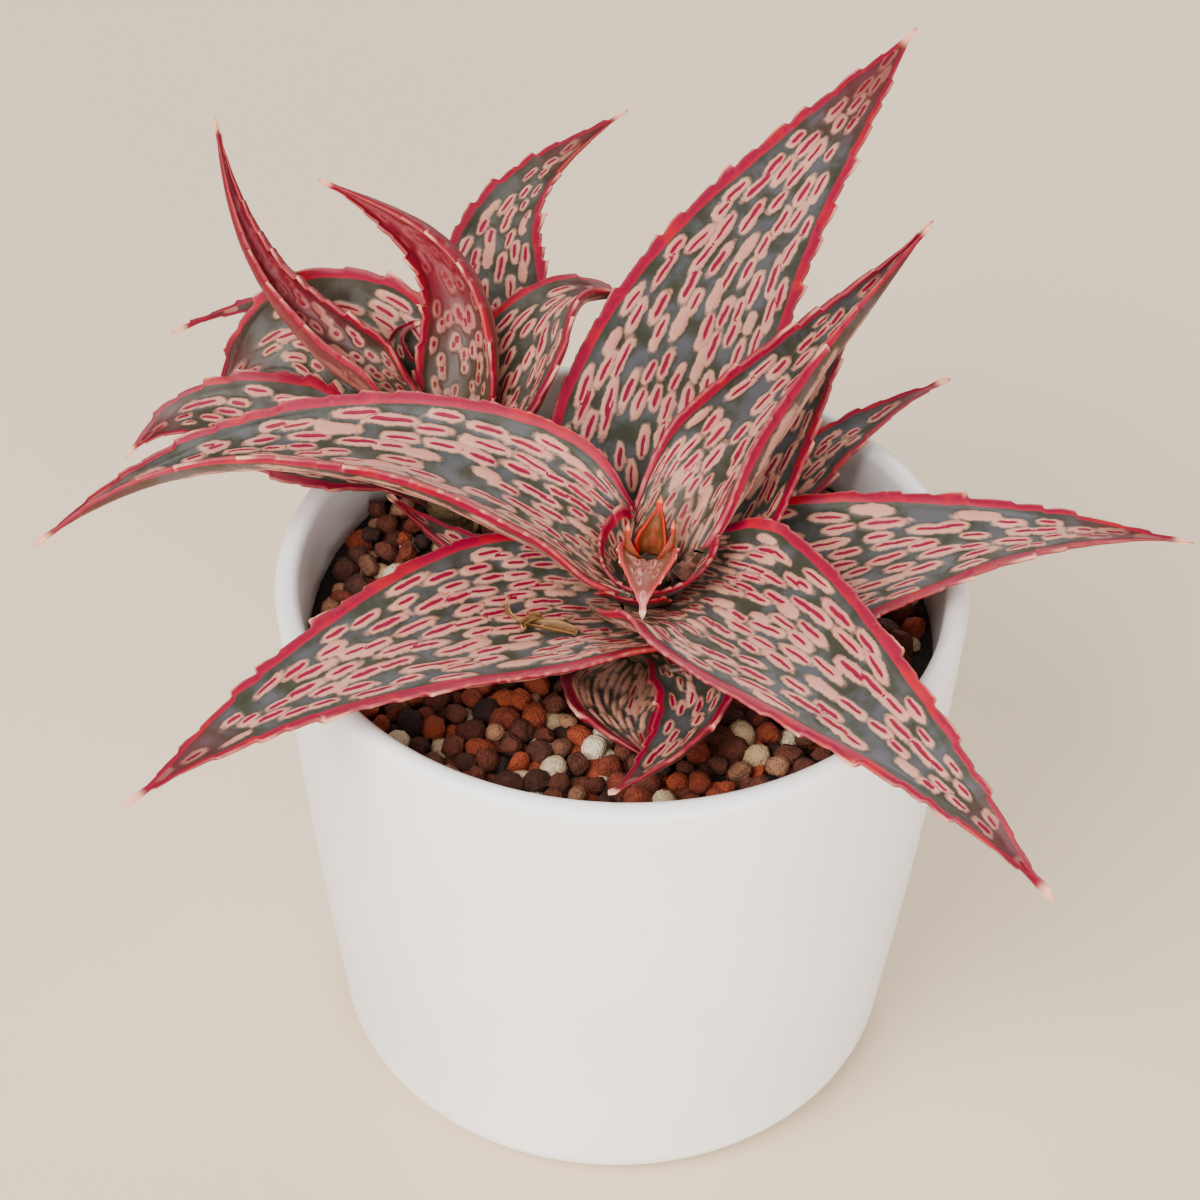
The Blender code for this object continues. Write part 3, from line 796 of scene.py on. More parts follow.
class Surface(Graph):
    """The node tree of a new material, with its Principled shader."""

    def __init__(self, name: str) -> None:
        """Make the material.

        Args:
            name: its name.
        """
        self.material = bpy.data.materials.new(name)
        self.material.use_nodes = True
        super().__init__(self.material.node_tree)
        self.shader = self.tree.nodes["Principled BSDF"].inputs

    def close(self, color: Socket, rough: Socket, height: Socket | None = None,
              strength: float = 0.0, deep: float = 0.0, **fixed: object) -> Material:
        """Feed the shader.

        Args:
            color: what its colour comes from.
            rough: what its roughness comes from.
            height: what its bump comes from, if it has one.
            strength: the bump's strength.
            deep: the bump's depth in metres.
            fixed: the shader's values that are the same all over, by name.

        Returns:
            the material.
        """
        self.feed(self.shader["Base Color"], color)
        self.feed(self.shader["Roughness"], rough)
        if height is not None:
            inputs = {"Height": height, "Strength": strength, "Distance": deep}
            bump = self.node("ShaderNodeBump", inputs)
            self.feed(self.shader["Normal"], bump.outputs["Normal"])
        for key, value in fixed.items():
            self.shader[key.replace("_", " ")].default_value = value
        return self.material

    def place(self, group: bpy.types.NodeTree, values: dict[str, object], strength: float,
              deep: float, **fixed: object) -> Material:
        """Dress the material in a shared group.

        Args:
            group: the group, with outputs as Group.OUTPUTS.
            values: its inputs, by name.
            strength: the bump's strength.
            deep: the bump's depth in metres.
            fixed: the shader's values that are the same all over, by name.

        Returns:
            the material.
        """
        ends = self.node("ShaderNodeGroup", values, node_tree=group).outputs
        return self.close(ends["Color"], ends["Roughness"], ends["Height"], strength, deep, **fixed)


def srgb(red: int, green: int, blue: int) -> Color:
    """Return a linear colour from 8-bit sRGB numbers.

    Args:
        red: the red channel.
        green: the green channel.
        blue: the blue channel.

    Returns:
        the colour: each channel is c/12.92 below 0.04, else ((c + 0.055)/1.055)^2.4.
    """
    def channel(c: int) -> float:
        """Return one channel as a linear number."""
        c = c / 255
        return c / 12.92 if c <= 0.04045 else ((c + 0.055) / 1.055) ** 2.4
    return channel(red), channel(green), channel(blue)


@dataclass(frozen=True)
class LeafFinish:
    """The colours of a leaf's skin, and how much of its lower face's colour shows there."""

    ground: Color = srgb(76, 76, 80)
    shade: Color = srgb(51, 51, 39)
    spot: Color = srgb(197, 136, 120)
    rim: Color = srgb(200, 146, 122)
    blush: Color = srgb(198, 86, 90)
    slit: Color = srgb(126, 0, 44)
    margin: Color = srgb(128, 0, 42)
    glow: Color = srgb(158, 0, 44)
    ember: Color = srgb(180, 12, 18)
    tooth: Color = srgb(236, 168, 140)
    base: Color = srgb(84, 60, 34)
    under: Color = srgb(112, 58, 54)
    tip: Color = srgb(84, 8, 20)
    under_share: float = 0.22


SKINS = {
    Skin.MAIN: LeafFinish(),
    Skin.OFFSET: LeafFinish(ground=srgb(78, 76, 72), shade=srgb(54, 48, 37),
                            spot=srgb(198, 134, 116), blush=srgb(192, 74, 80),
                            margin=srgb(126, 0, 40), glow=srgb(154, 0, 44),
                            under=srgb(132, 34, 42), under_share=0.3),
    Skin.TALL: LeafFinish(ground=srgb(78, 70, 66), shade=srgb(62, 44, 38),
                          spot=srgb(198, 128, 112), blush=srgb(192, 60, 72),
                          margin=srgb(134, 0, 38), glow=srgb(164, 0, 42),
                          under=srgb(106, 24, 36), under_share=0.7,
                          tip=srgb(112, 14, 32)),
    Skin.YOUNG: LeafFinish(ground=srgb(128, 56, 58), shade=srgb(106, 62, 44),
                           spot=srgb(204, 134, 130), rim=srgb(206, 150, 130),
                           blush=srgb(196, 56, 76), base=srgb(126, 74, 50),
                           under=srgb(176, 80, 80), margin=srgb(184, 30, 48),
                           glow=srgb(200, 82, 74), tooth=srgb(240, 196, 172),
                           tip=srgb(214, 150, 140), under_share=0.4),
    Skin.HEART: LeafFinish(ground=srgb(118, 12, 18), shade=srgb(88, 36, 18),
                           spot=srgb(136, 34, 22), rim=srgb(150, 50, 28),
                           blush=srgb(150, 16, 20), base=srgb(96, 70, 26),
                           under=srgb(168, 30, 20), slit=srgb(150, 8, 14),
                           margin=srgb(184, 16, 18), glow=srgb(196, 44, 24),
                           tooth=srgb(214, 100, 60), tip=srgb(172, 10, 14)),
    Skin.DRY: LeafFinish(ground=srgb(120, 84, 46), shade=srgb(84, 54, 30),
                         spot=srgb(150, 112, 70), rim=srgb(150, 112, 70),
                         blush=srgb(140, 96, 56), slit=srgb(84, 50, 28),
                         margin=srgb(150, 110, 62), glow=srgb(120, 80, 44),
                         ember=srgb(104, 62, 34), tooth=srgb(170, 130, 84),
                         base=srgb(110, 76, 44), under=srgb(96, 62, 36),
                         tip=srgb(76, 42, 22)),
}


class LeafPaint:
    """Makes the leaf materials, which share one node group."""

    SHARE = "under_share"      # the only input of the group that isn't a colour

    def __init__(self) -> None:
        """Make the shared group and one material for each finish."""
        self.group = self.make_group()
        self.materials = {skin: self.make_material(skin.value, finish)
                          for skin, finish in SKINS.items()}

    def make_group(self) -> bpy.types.NodeTree:
        """Return the group that lays ground, spots, slits and margin over each other.

        It reads what the mesh holds at each corner: pad, tint, cut_x and cut_y of the
        nearest spot, edge in widths of the red band, side (0 above, 1 below), hub in
        millimetres from the rosette's axis, and the shares tip and tooth.

        Returns:
            the group's tree.
        """
        colors = tuple(f.name for f in fields(LeafFinish) if f.name != self.SHARE)
        group = Group("aloe_skin", colors, (self.SHARE,))
        g, at = group.graph, group.inputs
        broad, mid, fine = g.noise(5.0, 3.0), g.noise(0.8), g.noise(0.22)
        pad, edge, tint = g.attribute("pad"), g.attribute("edge"), g.attribute("tint")
        cut_x, cut_y = g.attribute("cut_x"), g.attribute("cut_y")
        side, tip = g.attribute("side"), g.attribute("tip")
        sway, drift = g.math("SUBTRACT", mid, 0.5), g.math("SUBTRACT", broad, 0.5)
        # The ground, darker near the margin, and with painted shadow round each raised spot
        ground = g.mix(g.step(broad, 0.36, 0.64), at["ground"], at["shade"])
        ground = g.mix(g.times(g.step(edge, 2.6, 1.2), 0.55), ground, at["shade"])
        # painted shadow: the ground darkened in a ring just outside each raised spot
        ground = g.mix(g.times(g.step(pad, -0.5, -0.05), 0.35), ground, at["shade"])
        # The spots, pinker round their slits, with uneven edges
        blotch = g.times(g.step(g.noise(4.2), 0.54, 0.68), 0.24)
        pad_edge = g.plus(g.plus(pad, blotch), g.times(sway, 0.4))
        pad_mask = g.step(pad_edge, -0.15, 0.21)
        halo = g.step(g.length(cut_x, 0.45, cut_y, 0.8), 1.3, 0.5)
        flush = g.plus(g.times(tint, 0.6), g.times(drift, 1.6))
        flush = g.times(g.step(flush, -0.1, 0.8), 0.52)
        flush = g.times(flush, g.plus(g.times(halo, 0.75), 0.25))
        spot = g.mix(g.step(pad_edge, 0.5, 0.1), at["spot"], at["rim"])
        spot = g.mix(flush, spot, at["blush"])
        color = g.mix(g.times(pad_mask, 0.93), ground, spot)
        # The slits, faint on the lower face
        cut = g.plus(g.length(cut_x, 1.0, g.times(cut_y, cut_y), 1.0), g.times(sway, 0.8))
        slit_mask = g.times(g.step(cut, 1.15, 0.75), g.step(pad, 0.05, 0.2))
        slit_mask = g.times(slit_mask, g.step(side, 1.2, 0.4))
        color = g.mix(slit_mask, color, at["slit"])
        # The lower face, the brown toward the stem and the red of the tip
        color = g.mix(g.times(side, at[self.SHARE]), color, at["under"])
        hub = g.times(g.step(g.attribute("hub"), 17.0, 5.0), 0.42)
        color = g.mix(hub, color, at["base"])
        color = g.mix(tip, color, at["tip"])
        # The margin: a red band with lighter places and pale teeth
        rim = g.plus(edge, g.times(drift, 0.5))
        red = g.mix(g.step(rim, 0.4, 1.1), at["margin"], at["glow"])
        red = g.mix(g.step(mid, 0.55, 0.8), red, at["glow"])
        red = g.mix(g.times(g.step(g.noise(7.0), 0.52, 0.68), 0.5), red, at["ember"])
        color = g.mix(g.step(rim, 1.14, 0.9), color, red)
        color = g.mix(g.times(tip, 0.5), color, at["tip"])
        color = g.mix(g.attribute("tooth"), color, at["tooth"])
        rough = g.plus(g.plus(g.times(pad_mask, 0.08), 0.36), g.times(fine, 0.14))
        return group.close(color, rough, g.plus(g.times(fine, 0.6), g.times(mid, 0.8)))

    def make_material(self, name: str, finish: LeafFinish) -> Material:
        """Return one leaf material.

        Args:
            name: the material's name.
            finish: what the group's inputs are set to.

        Returns:
            the material.
        """
        values = {f.name: getattr(finish, f.name) for f in fields(finish)}
        skin = {"IOR": 1.42, "Specular_IOR_Level": 0.32, "Subsurface_Weight": 0.08,
                "Subsurface_Radius": (0.0012, 0.0005, 0.0003)}
        return Surface(name).place(self.group, values, strength=0.35, deep=0.00012, **skin)


@dataclass(frozen=True)
class Margin:
    """The toothed edge of a leaf, in millimetres."""

    pitch: float = 5.4           # from one lobe to the next
    bead_pitch: float = 1.9      # from one small tooth to the next
    scallop: float = 0.95        # how far a lobe stands out
    hook: float = 0.3            # how far its tooth stands out further
    fine: float = 0.3            # how far a small tooth stands out
    lean: float = 0.7            # how far a tooth leans toward the tip
    rim: float = 0.34            # radius of the rounded edge
    band: float = 1.3            # width of the red band
    early: float = 0.2           # share of the lobes' size near the base
    crest: float = 0.65          # place in a lobe where its swell is full
    point: float = 0.86          # place in a lobe of its tooth
    point_width: float = 0.11

    def band_width(self, half: Array) -> Array:
        """Return how wide the red band is: narrower where the leaf is."""
        return self.band * np.clip(half / 9, 0.4, 1)

    def teeth(self, blade: Blade, s: Array, phase: float) -> tuple[Array, Array]:
        """Return how far the edge stands out, and how pale it is there.

        With f the place within a lobe, the edge swells slowly to the crest, ends in a
        hook at the point and drops back at 1. Toward the base small teeth take over.

        Args:
            blade: the leaf's surface.
            s: place along the leaf.
            phase: where in a lobe the edge starts.

        Returns:
            millimetres and the share of the teeth's pale colour.
        """
        y = s * blade.length
        lobe_number, f = whole(y / self.pitch + phase + 0.15 * np.sin(y * 0.37 + 5 * phase))
        bead_number, g = whole(y / self.bead_pitch + 3 * phase + 0.3 * np.sin(0.83 * y))
        size = np.clip(blade.half_width(s) / 5, 0.35, 1) * smooth(s, 0.02, 0.1)
        far = self.early + (1 - self.early) * smooth(s, 0.2, 0.65)
        big = far * (0.65 + 0.4 * np.sin(lobe_number * 2.4 + phase * 9))
        lobe = smooth(f, 0.0, self.crest) * smooth(f, 1.0, 0.88) * big
        hook = np.clip(1 - np.abs(f - self.point) / self.point_width, 0, 1) * big
        bead = smooth(g, 0.0, 0.6) * smooth(g, 1.0, 0.8)
        bead = bead * (0.5 + 0.5 * np.sin(bead_number * 3.1 + phase)) * (1.2 - far)
        out = size * (self.scallop * lobe + self.hook * hook + self.fine * bead)
        return out, np.maximum(np.maximum(hook, 0.6 * bead), 0.62 * lobe) * size


@dataclass(frozen=True)
class Habit:
    """What the leaves of one skin share: spots, margin, mesh and the reach of the tip's colour."""

    plan: SpotPlan = SpotPlan()
    margin: Margin = Margin()
    grid: float = 1.0                                   # size of its mesh's cells
    flush: float = 0.66                                 # share of the tip's colour
    flush_at: tuple[float, float] = (0.74, 0.93)        # where that starts and is full


SMALL = Habit(SpotPlan(clear=1.0, row=5.4, lane=2.9, length=(3.4, 5.4), width=(1.8, 2.4),
                       slit_width=(0.6, 0.9), stagger=1.2, bare=0.02),
              Margin(pitch=2.4, scallop=0.3, hook=0.5, rim=0.22, band=0.9, early=0.7), grid=0.6)
HABITS = {
    Skin.MAIN: Habit(),
    Skin.OFFSET: Habit(SpotPlan(row=5.9, lane=2.35, length=(3.8, 6.4), width=(1.6, 2.2)),
                       Margin(pitch=4.3, scallop=1.0, hook=0.6, band=1.15, early=0.6)),
    Skin.TALL: Habit(SpotPlan(row=4.6, lane=2.5, length=(3.0, 4.6), width=(1.8, 2.4),
                              slit=(0.35, 0.6), slit_width=(0.6, 0.9)),
                     Margin(pitch=3.7, scallop=0.95, hook=0.6, band=0.95, early=0.7),
                     flush=0.88, flush_at=(0.2, 0.6)),
    Skin.YOUNG: SMALL,
    Skin.HEART: SMALL,
    Skin.DRY: SMALL,
}
STREAKS = SpotPlan(row=8.0, lane=1.8, length=(6.0, 11.5), width=(1.0, 1.6), plain=0.8,
                   clear=1.0, bare=0.04)


class AloeLeaf:
    """One leaf as a closed skin with raised spots, rounded rim and teeth."""

    ROW = 0.46                # mm along the leaf
    TOP_LANE = 0.34           # mm across its upper face
    LOW_LANE = 0.62           # mm across its lower face
    RELIEF = 0.42             # mm that a spot stands up
    LOW_SHARE = 0.7           # share of the relief on the lower face
    GROOVE = 0.22             # mm that its slit is deep
    WELT = 0.16               # mm that the margin swells
    ROLLING = 0.12            # mm of a slow wave in the upper face
    RIM_ARC = (45, 0, -45)    # degrees round the rounded edge
    RIM_SIDES = (0.25, 0.5, 0.75)
    PALE_END = (0.968, 0.99)  # shares of the length between which the tip turns pale
    APEX = 1.3                # mm that the tip goes on as a point
    STREAKED = "leaf_low_front"       # its upper face has the streaks of a lower one
    IN_CUP = "leaf_upright"           # stands in the cup, so its margin ends higher

    def __init__(self, blade: Blade, seed: int) -> None:
        """Seed the leaf's spots and teeth.

        Args:
            blade: the leaf's surface.
            seed: the number that its draws start from.
        """
        self.blade = blade
        self.leaf = blade.leaf
        self.rng = np.random.default_rng(seed)
        self.habit = HABITS[self.leaf.skin]
        self.margin = self.habit.margin
        above = STREAKS if self.leaf.name == self.STREAKED else self.habit.plan
        self.upper = Spots(blade, above, self.rng)
        self.lower = Spots(blade, above if self.habit is SMALL else STREAKS, self.rng)
        self.phases = self.rng.random(2)

    def edge_bump(self, s: Array, a: Array) -> tuple[Array, Array]:
        """Return the outward reach near the margins and the share of tooth.

        Args:
            s: place along the leaf.
            a: place across it.

        Returns:
            millimetres, which fade from each margin inward, and the share of tooth.
        """
        left, left_tooth = self.margin.teeth(self.blade, s, self.phases[0])
        right, right_tooth = self.margin.teeth(self.blade, s, self.phases[1])
        half = self.blade.half_width(s)
        near = smooth(np.abs(a) * half, half - np.minimum(1.5, 0.5 * half), half)
        return (np.where(a < 0, left, right) * near - self.rim(s) * np.abs(a) ** 3,
                np.where(a < 0, left_tooth, right_tooth) * near)

    def rim(self, s: Array) -> Array:
        """Return the radius of the rounded edge, less where the leaf is narrow or thin."""
        radius = self.margin.rim * np.clip(self.blade.half_width(s) / 3, 0.35, 1)
        return np.minimum(radius, 0.35 * self.blade.most(s))

    def tip(self, s: Array) -> Array:
        """Return the share of the tip's colour."""
        return self.habit.flush * smooth(s, *self.habit.flush_at)

    def ending(self, s: Array) -> Array:
        """Return what pushes the red band off the edge where the leaf meets the stem."""
        return 1.6 * smooth(s, *((0.13, 0.08) if self.leaf.name == self.IN_CUP else (0.05, 0.0)))

    def face(self, s: Array, a: Array, spots: Spots, below: bool) -> tuple[Array, dict[str, Array]]:
        """Return one face's points and the numbers that its corners hold.

        A point is top + n * h above, and top - n * (depth + h) below, with
        depth = 2 rim + (most - 2 rim)(1 - |a|^2.2) and h the relief: spots stand
        up by RELIEF * step(level), slits cut in, and the margin swells.

        Args:
            s: place along the leaf, on a grid.
            a: place across it, on the same grid.
            spots: the face's spots.
            below: whether it is the lower face.

        Returns:
            points and layers.
        """
        blade = self.blade
        bump, tooth = self.edge_bump(s, a)
        half = blade.half_width(s)
        edge = (1 - np.abs(a)) * half
        found = spots.sample(s, a)
        slit = 1 - np.hypot(found["cut_x"], found["cut_y"])
        keep = smooth(edge, 0.6, 1.8)
        height = self.RELIEF * np.clip(half / 6, 0.35, 1) * smooth(found["pad"], -0.3, 0.45) * keep
        height = height - self.GROOVE * np.clip(half / 6, 0.3, 1) * smooth(slit, -0.5, 0.5) * keep
        height = height + (self.WELT * np.clip(half / 6, 0.2, 1)
                           * smooth(edge, 2.0, 1.2) * smooth(edge, 0, 0.5))
        wave = self.ROLLING * np.sin(0.31 * s * blade.length + 2.2 * a) * keep
        normal, along = blade.normal(s, a), unit(blade.along(s, a))
        points = blade.top(s, a, bump) + along * (tooth * self.margin.lean)[..., None]
        if below:
            rim = self.rim(s)
            depth = np.maximum(blade.most(s) - 2 * rim, 0) * (1 - np.abs(a) ** blade.CROWN)
            depth = 2 * rim + depth
            points = points - normal * (depth + self.LOW_SHARE * height)[..., None]
        else:
            points = points + normal * (height + wave)[..., None]
        band = (edge + (0.35 if below else 0.0)) / self.margin.band_width(half)
        return points, {**found, "edge": band + self.ending(s), "hub": self.leaf.on.radius(points),
                        "side": np.full(s.shape, float(below)), "tip": self.tip(s),
                        "tooth": np.maximum(smooth(tooth, 0.5, 1.1), smooth(s, *self.PALE_END))}

    def rounded(self, s: Array, a: float) -> tuple[Array, dict[str, Array]]:
        """Return the columns of points round one edge, from the upper face to the lower.

        They lie on an arc of the rim's radius about a line that far under the edge:
        centre + rim (out cos(turn) + normal sin(turn)).

        Args:
            s: place along the leaf.
            a: the edge, -1 or 1.

        Returns:
            points and layers.
        """
        blade = self.blade
        cols = np.full(s.shape, a)
        bump, tooth = self.edge_bump(s, cols)
        normal = blade.normal(s, cols)
        out = unit(blade.across(s, cols)) * math.copysign(1, a)
        rim = self.rim(s)[:, None]
        centre = (blade.top(s, cols, bump) - normal * rim
                  + unit(blade.along(s, cols)) * (tooth * self.margin.lean)[:, None])
        turn = np.radians(self.RIM_ARC)[None, :, None]
        points = centre[:, None] + rim[:, None] * (out[:, None] * np.cos(turn)
                                                   + normal[:, None] * np.sin(turn))
        pale = np.maximum(0.08 + 0.82 * smooth(tooth, 0.15, 0.75), smooth(s, *self.PALE_END))
        shape = points.shape[:2]
        layers = {"edge": self.ending(s)[:, None], "side": self.RIM_SIDES,
                  "tip": self.tip(s)[:, None], "tooth": pale[:, None]}
        layers = {key: np.broadcast_to(values, shape) for key, values in layers.items()}
        return points, {**Spots.none(shape), **layers, "hub": self.leaf.on.radius(points)}

    def build(self, material: Material) -> Object:
        """Build the piece and hide the plain leaf that it stands for.

        The columns of both faces and both edges make a ring at each row. The rings are
        joined by bands, the last closes in a point and the first with a cap.

        Args:
            material: the leaf's material.

        Returns:
            the piece.
        """
        blade, grid = self.blade, self.habit.grid
        rows = max(12, round(blade.length / self.ROW / grid))
        top_n = max(8, 2 * round(self.leaf.width / self.TOP_LANE / 2 / grid))
        low_n = max(6, 2 * round(self.leaf.width / self.LOW_LANE / 2 / grid))
        s = np.linspace(0, 1, rows + 1)
        top_a, low_a = np.linspace(-1, 1, top_n + 1), np.linspace(1, -1, low_n + 1)
        parts = [self.face(*np.meshgrid(s, top_a, indexing="ij"), self.upper, False),
                 self.rounded(s, 1.0),
                 self.face(*np.meshgrid(s, low_a, indexing="ij"), self.lower, True),
                 self.rounded(s, -1.0)]
        points = np.concatenate([p for p, _ in parts], 1)
        points[:, -len(self.RIM_ARC):] = points[:, :-len(self.RIM_ARC) - 1:-1]
        ring = points.shape[1]
        end = points[-1].mean(0)
        apex = end + unit(end - points[-8].mean(0)) * self.APEX
        flat = np.concatenate([points.reshape(-1, 3), [apex]])
        layers = {}
        for key in parts[0][1]:
            values = np.concatenate([layer[key] for _, layer in parts], 1).ravel()
            layers[key] = np.append(values, values[-ring])
        quads = MeshSheet.bands(rows + 1, ring)[:, [0, 3, 2, 1]]
        j = np.arange(ring)
        last = rows * ring
        tip = np.stack([last + j, np.full(ring, len(flat) - 1), last + (j + 1) % ring], -1)
        tris = np.concatenate([tip, self.cap(ring, top_a, low_a)])
        obj = MeshSheet.mesh(self.leaf.name + "_blade", flat, quads, tris, layers)
        obj.data.materials.append(material)
        if self.leaf in LEAVES:
            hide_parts(self.leaf.name)
        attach(obj, BODY)
        return obj

    def cap(self, ring: int, top_a: Array, low_a: Array) -> Array:
        """Return triangles that close the base, from the upper chain to the lower.

        Both chains run from a = -1 to a = 1. Their steps are sorted by where they
        lie, and each step makes one triangle with the other chain's current corner.

        Args:
            ring: how many corners the base has.
            top_a: places across the upper face.
            low_a: places across the lower face.

        Returns:
            three corner numbers a row.
        """
        rim = len(self.RIM_ARC)
        upper = np.arange(len(top_a))
        lower = np.arange(ring - 1, len(top_a) - 1, -1)
        low_at = np.concatenate([np.full(rim, -1.0), low_a[::-1], np.full(rim, 1.0)])
        keys = np.concatenate([(top_a[1:] + top_a[:-1]) / 2, (low_at[1:] + low_at[:-1]) / 2])
        order = np.argsort(keys, kind="stable")
        is_top = order < len(top_a) - 1
        i = np.cumsum(is_top) - is_top
        k = np.cumsum(~is_top) - ~is_top
        after_i = np.minimum(i + 1, len(upper) - 1)
        after_k = np.minimum(k + 1, len(lower) - 1)
        return np.where(is_top[:, None],
                        np.stack([upper[i], upper[after_i], lower[k]], -1),
                        np.stack([upper[i], lower[after_k], lower[k]], -1))


@dataclass(frozen=True)
class CrownCup:
    """A cup of leaf bases that closes round the growing point of the main plant.

    radius and height each give a mean, a swing and an azimuth: the rim at the azimuth u
    has the radius mean + swing cos(u - azimuth), and likewise its height. With t from 0
    at the stem to 1 at the rim, the radius grows as t^0.8 and the height as t^1.2. Long
    spots run up its inside.
    """

    name: str
    sweep: tuple[float, float]            # degrees
    radius: tuple[float, float, float]
    height: tuple[float, float, float]
    stem: tuple[float, float]             # the radius and height that it starts from
    thick: float = 0.8
    stripe: float = 13.0                  # degrees from one spot to the next
    steps: int = 29                       # corners from the stem to the rim
    ends: float = 14.0                    # degrees over which its ends come down

    @staticmethod
    def swing(u: Array, track: tuple[float, float, float]) -> Array:
        """Return mean + swing cos(u - azimuth), with u in degrees."""
        mean, swing, toward = track
        return mean + swing * np.cos(np.radians(u - toward))

    def wall(self, u: Array, t: Array, out: Array) -> Array:
        """Return points of the wall.

        Args:
            u: azimuths in degrees.
            t: place from the stem to the rim.
            out: millimetres that they are moved outward and down.

        Returns:
            points in the object's frame.
        """
        start, end = self.sweep
        ends = smooth(u, start + self.ends, start) + smooth(u, end - self.ends, end)
        height = self.swing(u, self.height) + 0.35 * self.tooth(u) - 1.6 * ends
        r = self.stem[0] + (self.swing(u, self.radius) - self.stem[0]) * t ** 0.8 + out
        z = self.stem[1] + (height - self.stem[1]) * t ** 1.2 - 0.6 * out
        x, y, _ = PLANT.crown
        turn = np.radians(u)
        return np.stack([x + r * np.cos(turn), y + r * np.sin(turn), z], -1)

    @staticmethod
    def tooth(u: Array) -> Array:
        """Return small hooks along the rim: each swells to 0.7 of its place and drops.

        Args:
            u: azimuths in degrees.

        Returns:
            shares of a full hook.
        """
        number, f = whole(u / 13.0 + 0.5 * np.sin(u * 0.07) + 0.2 * np.sin(u * 0.19))
        size = 0.6 + 0.4 * np.sin(number * 2.3)
        return size * smooth(f, 0.0, 0.7) * smooth(f, 1.0, 0.85)

    def build(self, material: Material) -> Object:
        """Build the cup as one closed shell, swept round the stem.

        Args:
            material: the leaves' material.

        Returns:
            the piece.
        """
        rise = np.linspace(0, 1, self.steps)
        t = np.concatenate([rise, [1.03], rise[::-1]])
        back = (self.thick * (1 - 0.5 * rise))[::-1]
        out = np.concatenate([np.zeros(self.steps), [0.2], back])
        u = np.linspace(*self.sweep, round(self.sweep[1] - self.sweep[0]) + 1)
        u, t = np.meshgrid(u, t, indexing="ij")
        out = np.broadcast_to(out, u.shape)
        inner = out == 0
        lane = (u / self.stripe + 0.5) % 1 - 0.5
        band = np.floor(u / self.stripe + 0.5) % 2
        d = lane * self.stripe * math.radians(1) * (4 + 5 * t)
        e = (t - 0.46 - 0.2 * band) * 8
        level = (np.abs(d / 0.75) ** 2.5 + np.abs(e / 1.5) ** 2.5) ** 0.4
        layers = {"pad": np.where(inner, 0.75 * (1 - level), Spots.OUTSIDE),
                  "tint": 0.5 + 0.4 * band, "cut_x": np.clip(d / 0.24, -Spots.FAR, Spots.FAR),
                  "cut_y": e, "edge": (1 - t) * 5.0, "side": np.where(inner, 0.0, 1.0),
                  "hub": 8.0 + 5 * t, "tip": np.zeros(u.shape),
                  "tooth": 0.4 * self.tooth(u) * smooth(t, 0.93, 1.0)}
        ring = u.shape[1]
        half = np.arange(ring // 2)
        first = np.stack([half, ring - 1 - half, ring - 2 - half, half + 1], -1)[:-1]
        last = first[:, ::-1] + (len(u) - 1) * ring
        quads = np.concatenate([MeshSheet.bands(len(u), ring), first, last])
        obj = MeshSheet.mesh(self.name, self.wall(u, t, out).reshape(-1, 3), quads,
                             np.zeros((0, 3), int), {key: v.ravel() for key, v in layers.items()})
        obj.data.materials.append(material)
        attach(obj, BODY)
        return obj


CUPS = (
    CrownCup("crown_cup", (106, 376), (8.9, 1.9, 40), (106.2, 2.6, 55), (4.05, 100.5)),
    CrownCup("crown_cup_low", (214, 302), (7.7, 2.4, 180), (102.4, 1.0, 180), (4.05, 98.5)),
)


@dataclass(frozen=True)
class PotShape:
    """The pot's sizes in millimetres."""

    height: float = 95.0
    rim: float = 55.0
    foot: float = 47.5
    corner: float = 7.0
    wall: float = 4.0
    floor: float = 5.0
    bowl: float = 4.0             # radius inside, between wall and floor
    lip: float = 1.9
    belly: float = 0.75
    hollow: float = 0.8           # depth of the hollow within the foot ring
    drains: int = 3
    drain: float = 2.5
    drain_circle: float = 19.0
    drain_depth: float = 16.0
    drain_middle: float = 3.0     # height of the middle of that depth

    def outer(self, z: Array) -> Array:
        """Return the outer wall's radius: a straight flare with a half sine of belly.

        Args:
            z: heights.

        Returns:
            radii.
        """
        t = (z - self.corner) / (self.height - self.lip - self.corner)
        return (self.foot + (self.rim - self.foot) * t
                + self.belly * np.sin(math.pi * np.clip(t, 0, 1)))

    def inner(self, z: Array) -> Array:
        """Return the inner wall's radius: the wall thins evenly into the lip above z = 80."""
        return self.outer(z) - self.wall + (self.wall - 2 * self.lip) * np.clip((z - 80) / 13, 0, 1)


